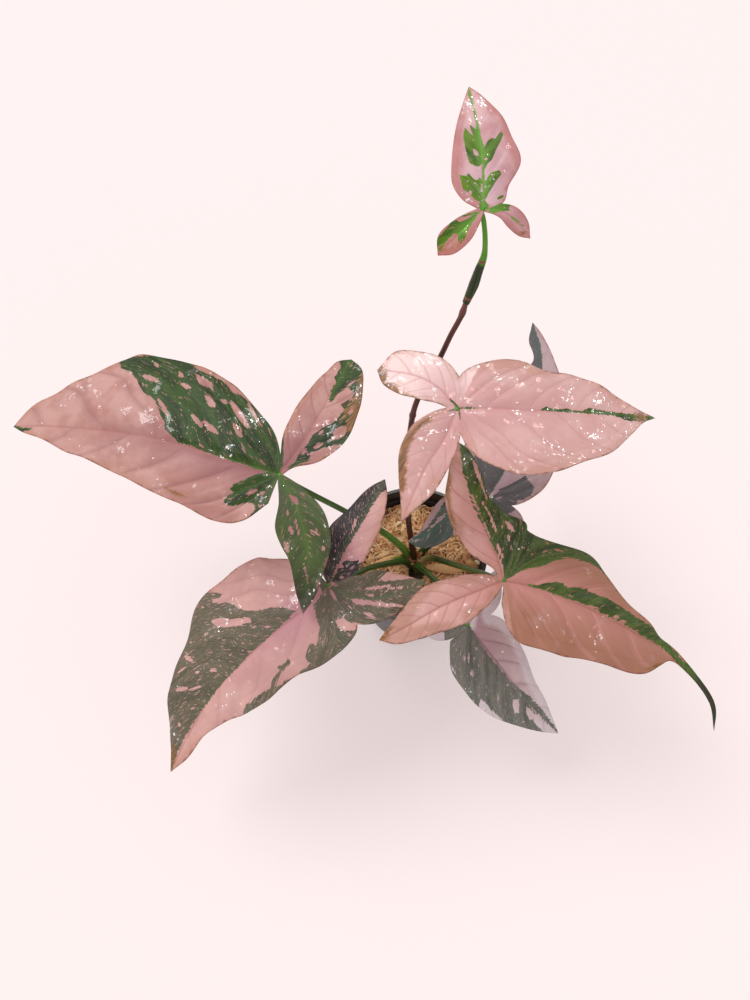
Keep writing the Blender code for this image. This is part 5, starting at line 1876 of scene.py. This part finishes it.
def make_pot():
    """The ribbed pot: its wall turned round the axis, and its floor with drain holes."""
    profile = pot_profile()
    corners = []
    for i in range(POT_SIDES):
        angle = 2 * math.pi * i / POT_SIDES
        rib = (1 + math.cos(COLLAR_RIBS * angle)) / 2
        for radius, height, share in profile:
            reach = radius - share * RIB_DEPTH * rib
            corners.append((reach * math.cos(angle), reach * math.sin(angle), height))
    rows = len(profile)
    faces = []
    for i in range(POT_SIDES):
        j = (i + 1) % POT_SIDES
        for row in range(rows - 1):
            faces.append((i * rows + row, i * rows + row + 1, j * rows + row + 1, j * rows + row))
    add_floor(corners, faces, rows)
    mesh = make_mesh("pot", corners, faces)
    shape = bmesh.new()
    shape.from_mesh(mesh)
    bmesh.ops.recalc_face_normals(shape, faces=shape.faces)
    shape.to_mesh(mesh)
    shape.free()
    mesh.shade_smooth()
    mesh.set_sharp_from_angle(angle=math.radians(40))
    mesh.materials.append(pot_material())
    add_piece("pot", mesh, "pot_plastic", "pot")


def ring_points(radius, count, centre=(0, 0)):
    """Points on a circle of the floor, evenly spaced."""
    turns = [2 * math.pi * i / count for i in range(count)]
    return [(centre[0] + radius * math.cos(turn), centre[1] + radius * math.sin(turn)) for turn in turns]


def add_floor(corners, faces, rows):
    """Closes the pot's wall with a floor between its first and last rows, and sinks the drain holes."""
    sides = DRAIN_HOLE_SIDES
    turns = [math.radians(DRAIN_HOLE_TURN + 360 * i / DRAIN_HOLES) for i in range(DRAIN_HOLES)]
    centres = [(DRAIN_HOLE_CIRCLE * math.cos(turn), DRAIN_HOLE_CIRCLE * math.sin(turn)) for turn in turns]
    inside = [point for centre in centres for point in ring_points(DRAIN_HOLE_RADIUS, sides, centre)]
    levels = {}
    for row, level in ((0, POT_WALL), (rows - 1, 0.0)):
        rim = [i * rows + row for i in range(POT_SIDES)]
        points = [corners[i][:2] for i in rim] + inside + [(0.0, 0.0)]
        start = len(corners)
        corners.extend((x, y, level) for x, y in points[POT_SIDES:])
        numbers = rim + list(range(start, start + len(inside) + 1))
        edges = [(i, (i + 1) % POT_SIDES) for i in range(POT_SIDES)]
        for hole in range(DRAIN_HOLES):
            base = POT_SIDES + hole * sides
            edges.extend((base + i, base + (i + 1) % sides) for i in range(sides))
        _, _, found, source, *_ = delaunay_2d_cdt([Vector(point) for point in points], edges, [], 1, 1e-6)
        for face in found:
            middle = np.mean([points[source[i][0]] for i in face], axis=0)
            if min(math.dist(middle, centre) for centre in centres) > DRAIN_HOLE_RADIUS * 0.99:
                faces.append([numbers[source[i][0]] for i in face])
        levels[row] = start
    upper, lower = levels[0], levels[rows - 1]
    for hole in range(DRAIN_HOLES):
        for i in range(sides):
            a, b = hole * sides + i, hole * sides + (i + 1) % sides
            faces.append((upper + a, upper + b, lower + b, lower + a))


def pot_material():
    """Black moulded plastic, dusty in patches and lightly scuffed."""
    look = Look("black_plastic")
    place = look.place()
    cloud = look.noise(place, 45.0, 4.0, 0.6)
    base = look.mix(look.share(cloud, 0.35, 0.7), *colours(PLASTIC_TINTS))
    dust = look.noise(place, 420.0, 4.0, 0.75)
    base = look.mix(look.share(dust, 0.62, 0.8, 0.0, 0.55), base, colour(DUST_TINT))
    scuff = look.noise(look.scaled(place, (1.0, 1.0, 9.0)), 160.0, 3.0, 0.7)
    rough = look.share(scuff, 0.35, 0.7, 0.3, 0.52)
    grain = look.bump(look.noise(place, 1300.0, 2.0), 0.05, 0.6)
    return look.finish(Base_Color=base, Roughness=rough, Normal=grain)


def drop_shape(place, normal, radius, chance):
    """Corners and faces of one low, uneven drop of water that sits on a blade."""
    side = np.cross(normal, (0.31, 0.2, 0.93))
    side /= np.linalg.norm(side)
    over = np.cross(normal, side)
    stretch = chance.uniform(0.75, 1.3)
    phase = chance.uniform(0, 2 * math.pi)
    turns = np.linspace(0, 2 * math.pi, DROP_SIDES, endpoint=False)
    outline = radius * (1 + 0.12 * np.cos(2 * turns + phase) + 0.06 * np.cos(3 * turns - phase))
    corners = []
    for share, rise in DROP_PROFILE:
        for turn, reach in zip(turns, outline):
            flat = reach * share * (side * math.cos(turn) * stretch + over * math.sin(turn) / stretch)
            corners.append(place + flat + normal * rise * radius)
    top = len(corners)
    corners.append(place + normal * DROP_TOP * radius)
    last = top - DROP_SIDES
    faces = [tuple(reversed(range(DROP_SIDES)))]
    for i in range(DROP_SIDES):
        j = (i + 1) % DROP_SIDES
        for start in range(0, last, DROP_SIDES):
            faces.append((start + i, start + j, start + j + DROP_SIDES, start + i + DROP_SIDES))
        faces.append((last + i, last + j, top))
    return corners, faces


def make_drops(blades):
    """Water drops scattered over the upper sides of the blades."""
    chance = random.Random(DROP_SEED)
    shapes = []
    for name, count in DROPS.items():
        mesh = blades[name].data
        half = len(mesh.vertices) // 2
        edge = mesh.attributes["edge"].data
        for _ in range(count):
            spot = chance.randrange(half)
            radius = DROP_RADII[0] + (DROP_RADII[1] - DROP_RADII[0]) * chance.random() ** 3
            if edge[spot].value < 2 * radius:
                continue
            place = np.array(mesh.vertices[spot].co) / MM
            normal = np.array(mesh.vertex_normals[spot].vector)
            shapes.append(drop_shape(place, normal, radius, chance))
    mesh = make_mesh("drops", *joined(shapes))
    mesh.shade_smooth()
    look = Look("water")
    water = look.finish(Base_Color=colour(WATER_TINT), Roughness=0.02, Transmission_Weight=1.0, IOR=1.33)
    mesh.materials.append(water)
    drops = add_piece("drops", mesh, "leaf_blade")
    drops.visible_shadow = False


def make_floor():
    """A plain pale floor, which glows a little so that shadows on it stay faint."""
    reach = FLOOR_REACH
    corners = [(-reach, -reach, 0), (reach, -reach, 0), (reach, reach, 0), (-reach, reach, 0)]
    mesh = make_mesh("floor", corners, [(0, 1, 2, 3)])
    tone = colour(FLOOR_COLOUR)
    matt = (*(part * (1 - FLOOR_GLOW) for part in tone[:3]), 1.0)
    glow = FLOOR_GLOW * GLOW_TRIM
    paint = Look("floor").finish(
        Base_Color=matt, Roughness=FLOOR_ROUGHNESS, Emission_Color=tone, Emission_Strength=glow
    )
    mesh.materials.append(paint)
    floor = add_object("floor", mesh)


def aim_from(place):
    """The turn that points a light from this place to the origin."""
    return Vector(place).to_track_quat("Z", "Y").to_euler()


def make_lights():
    """A pale sky, a soft sun, and lamps that show in the wet patches alone."""
    world = bpy.data.worlds.new("sky")
    world.use_nodes = True
    background = world.node_tree.nodes["Background"]
    background.inputs["Color"].default_value = colour(SKY_COLOUR)
    background.inputs["Strength"].default_value = SKY_STRENGTH
    bpy.context.scene.world = world
    sun = bpy.data.lights.new("sun", "SUN")
    sun.energy = SUN_STRENGTH
    sun.angle = math.radians(SUN_WIDTH)
    add_object("sun", sun).rotation_euler = aim_from(SUN_FROM)
    for name, lamp in LAMPS.items():
        light = bpy.data.lights.new(name, "AREA")
        light.shape = "DISK"
        light.size = lamp.size * MM
        light.energy = lamp.power
        light.color = colour(LAMP_TINT)[:3]
        thing = add_object(name, light)
        thing.location = Vector(lamp.place) * MM
        thing.rotation_euler = aim_from(Vector(lamp.place) - Vector(LAMP_AIM))
        thing.visible_diffuse = False


def make_camera():
    """The camera that sees the plant as the photograph does."""
    camera = bpy.data.cameras.new("camera")
    camera.sensor_fit = "VERTICAL"
    camera.sensor_height = SENSOR
    camera.lens = LENS
    camera.clip_start = 0.01
    thing = add_object("camera", camera)
    thing.location = Vector(CAMERA_PLACE) * MM
    thing.rotation_euler = (math.radians(CAMERA_TILT), 0, 0)
    bpy.context.scene.camera = thing
    bpy.context.scene.view_settings.view_transform = "Standard"


def main():
    blades = {name: make_blade(name, leaf) for name, leaf in LEAVES.items()}
    make_drops(blades)
    make_petioles()
    make_stems()
    make_soil_body()
    make_fibres()
    make_chips()
    make_scales()
    make_pot()
    make_floor()
    make_lights()
    make_camera()


main()
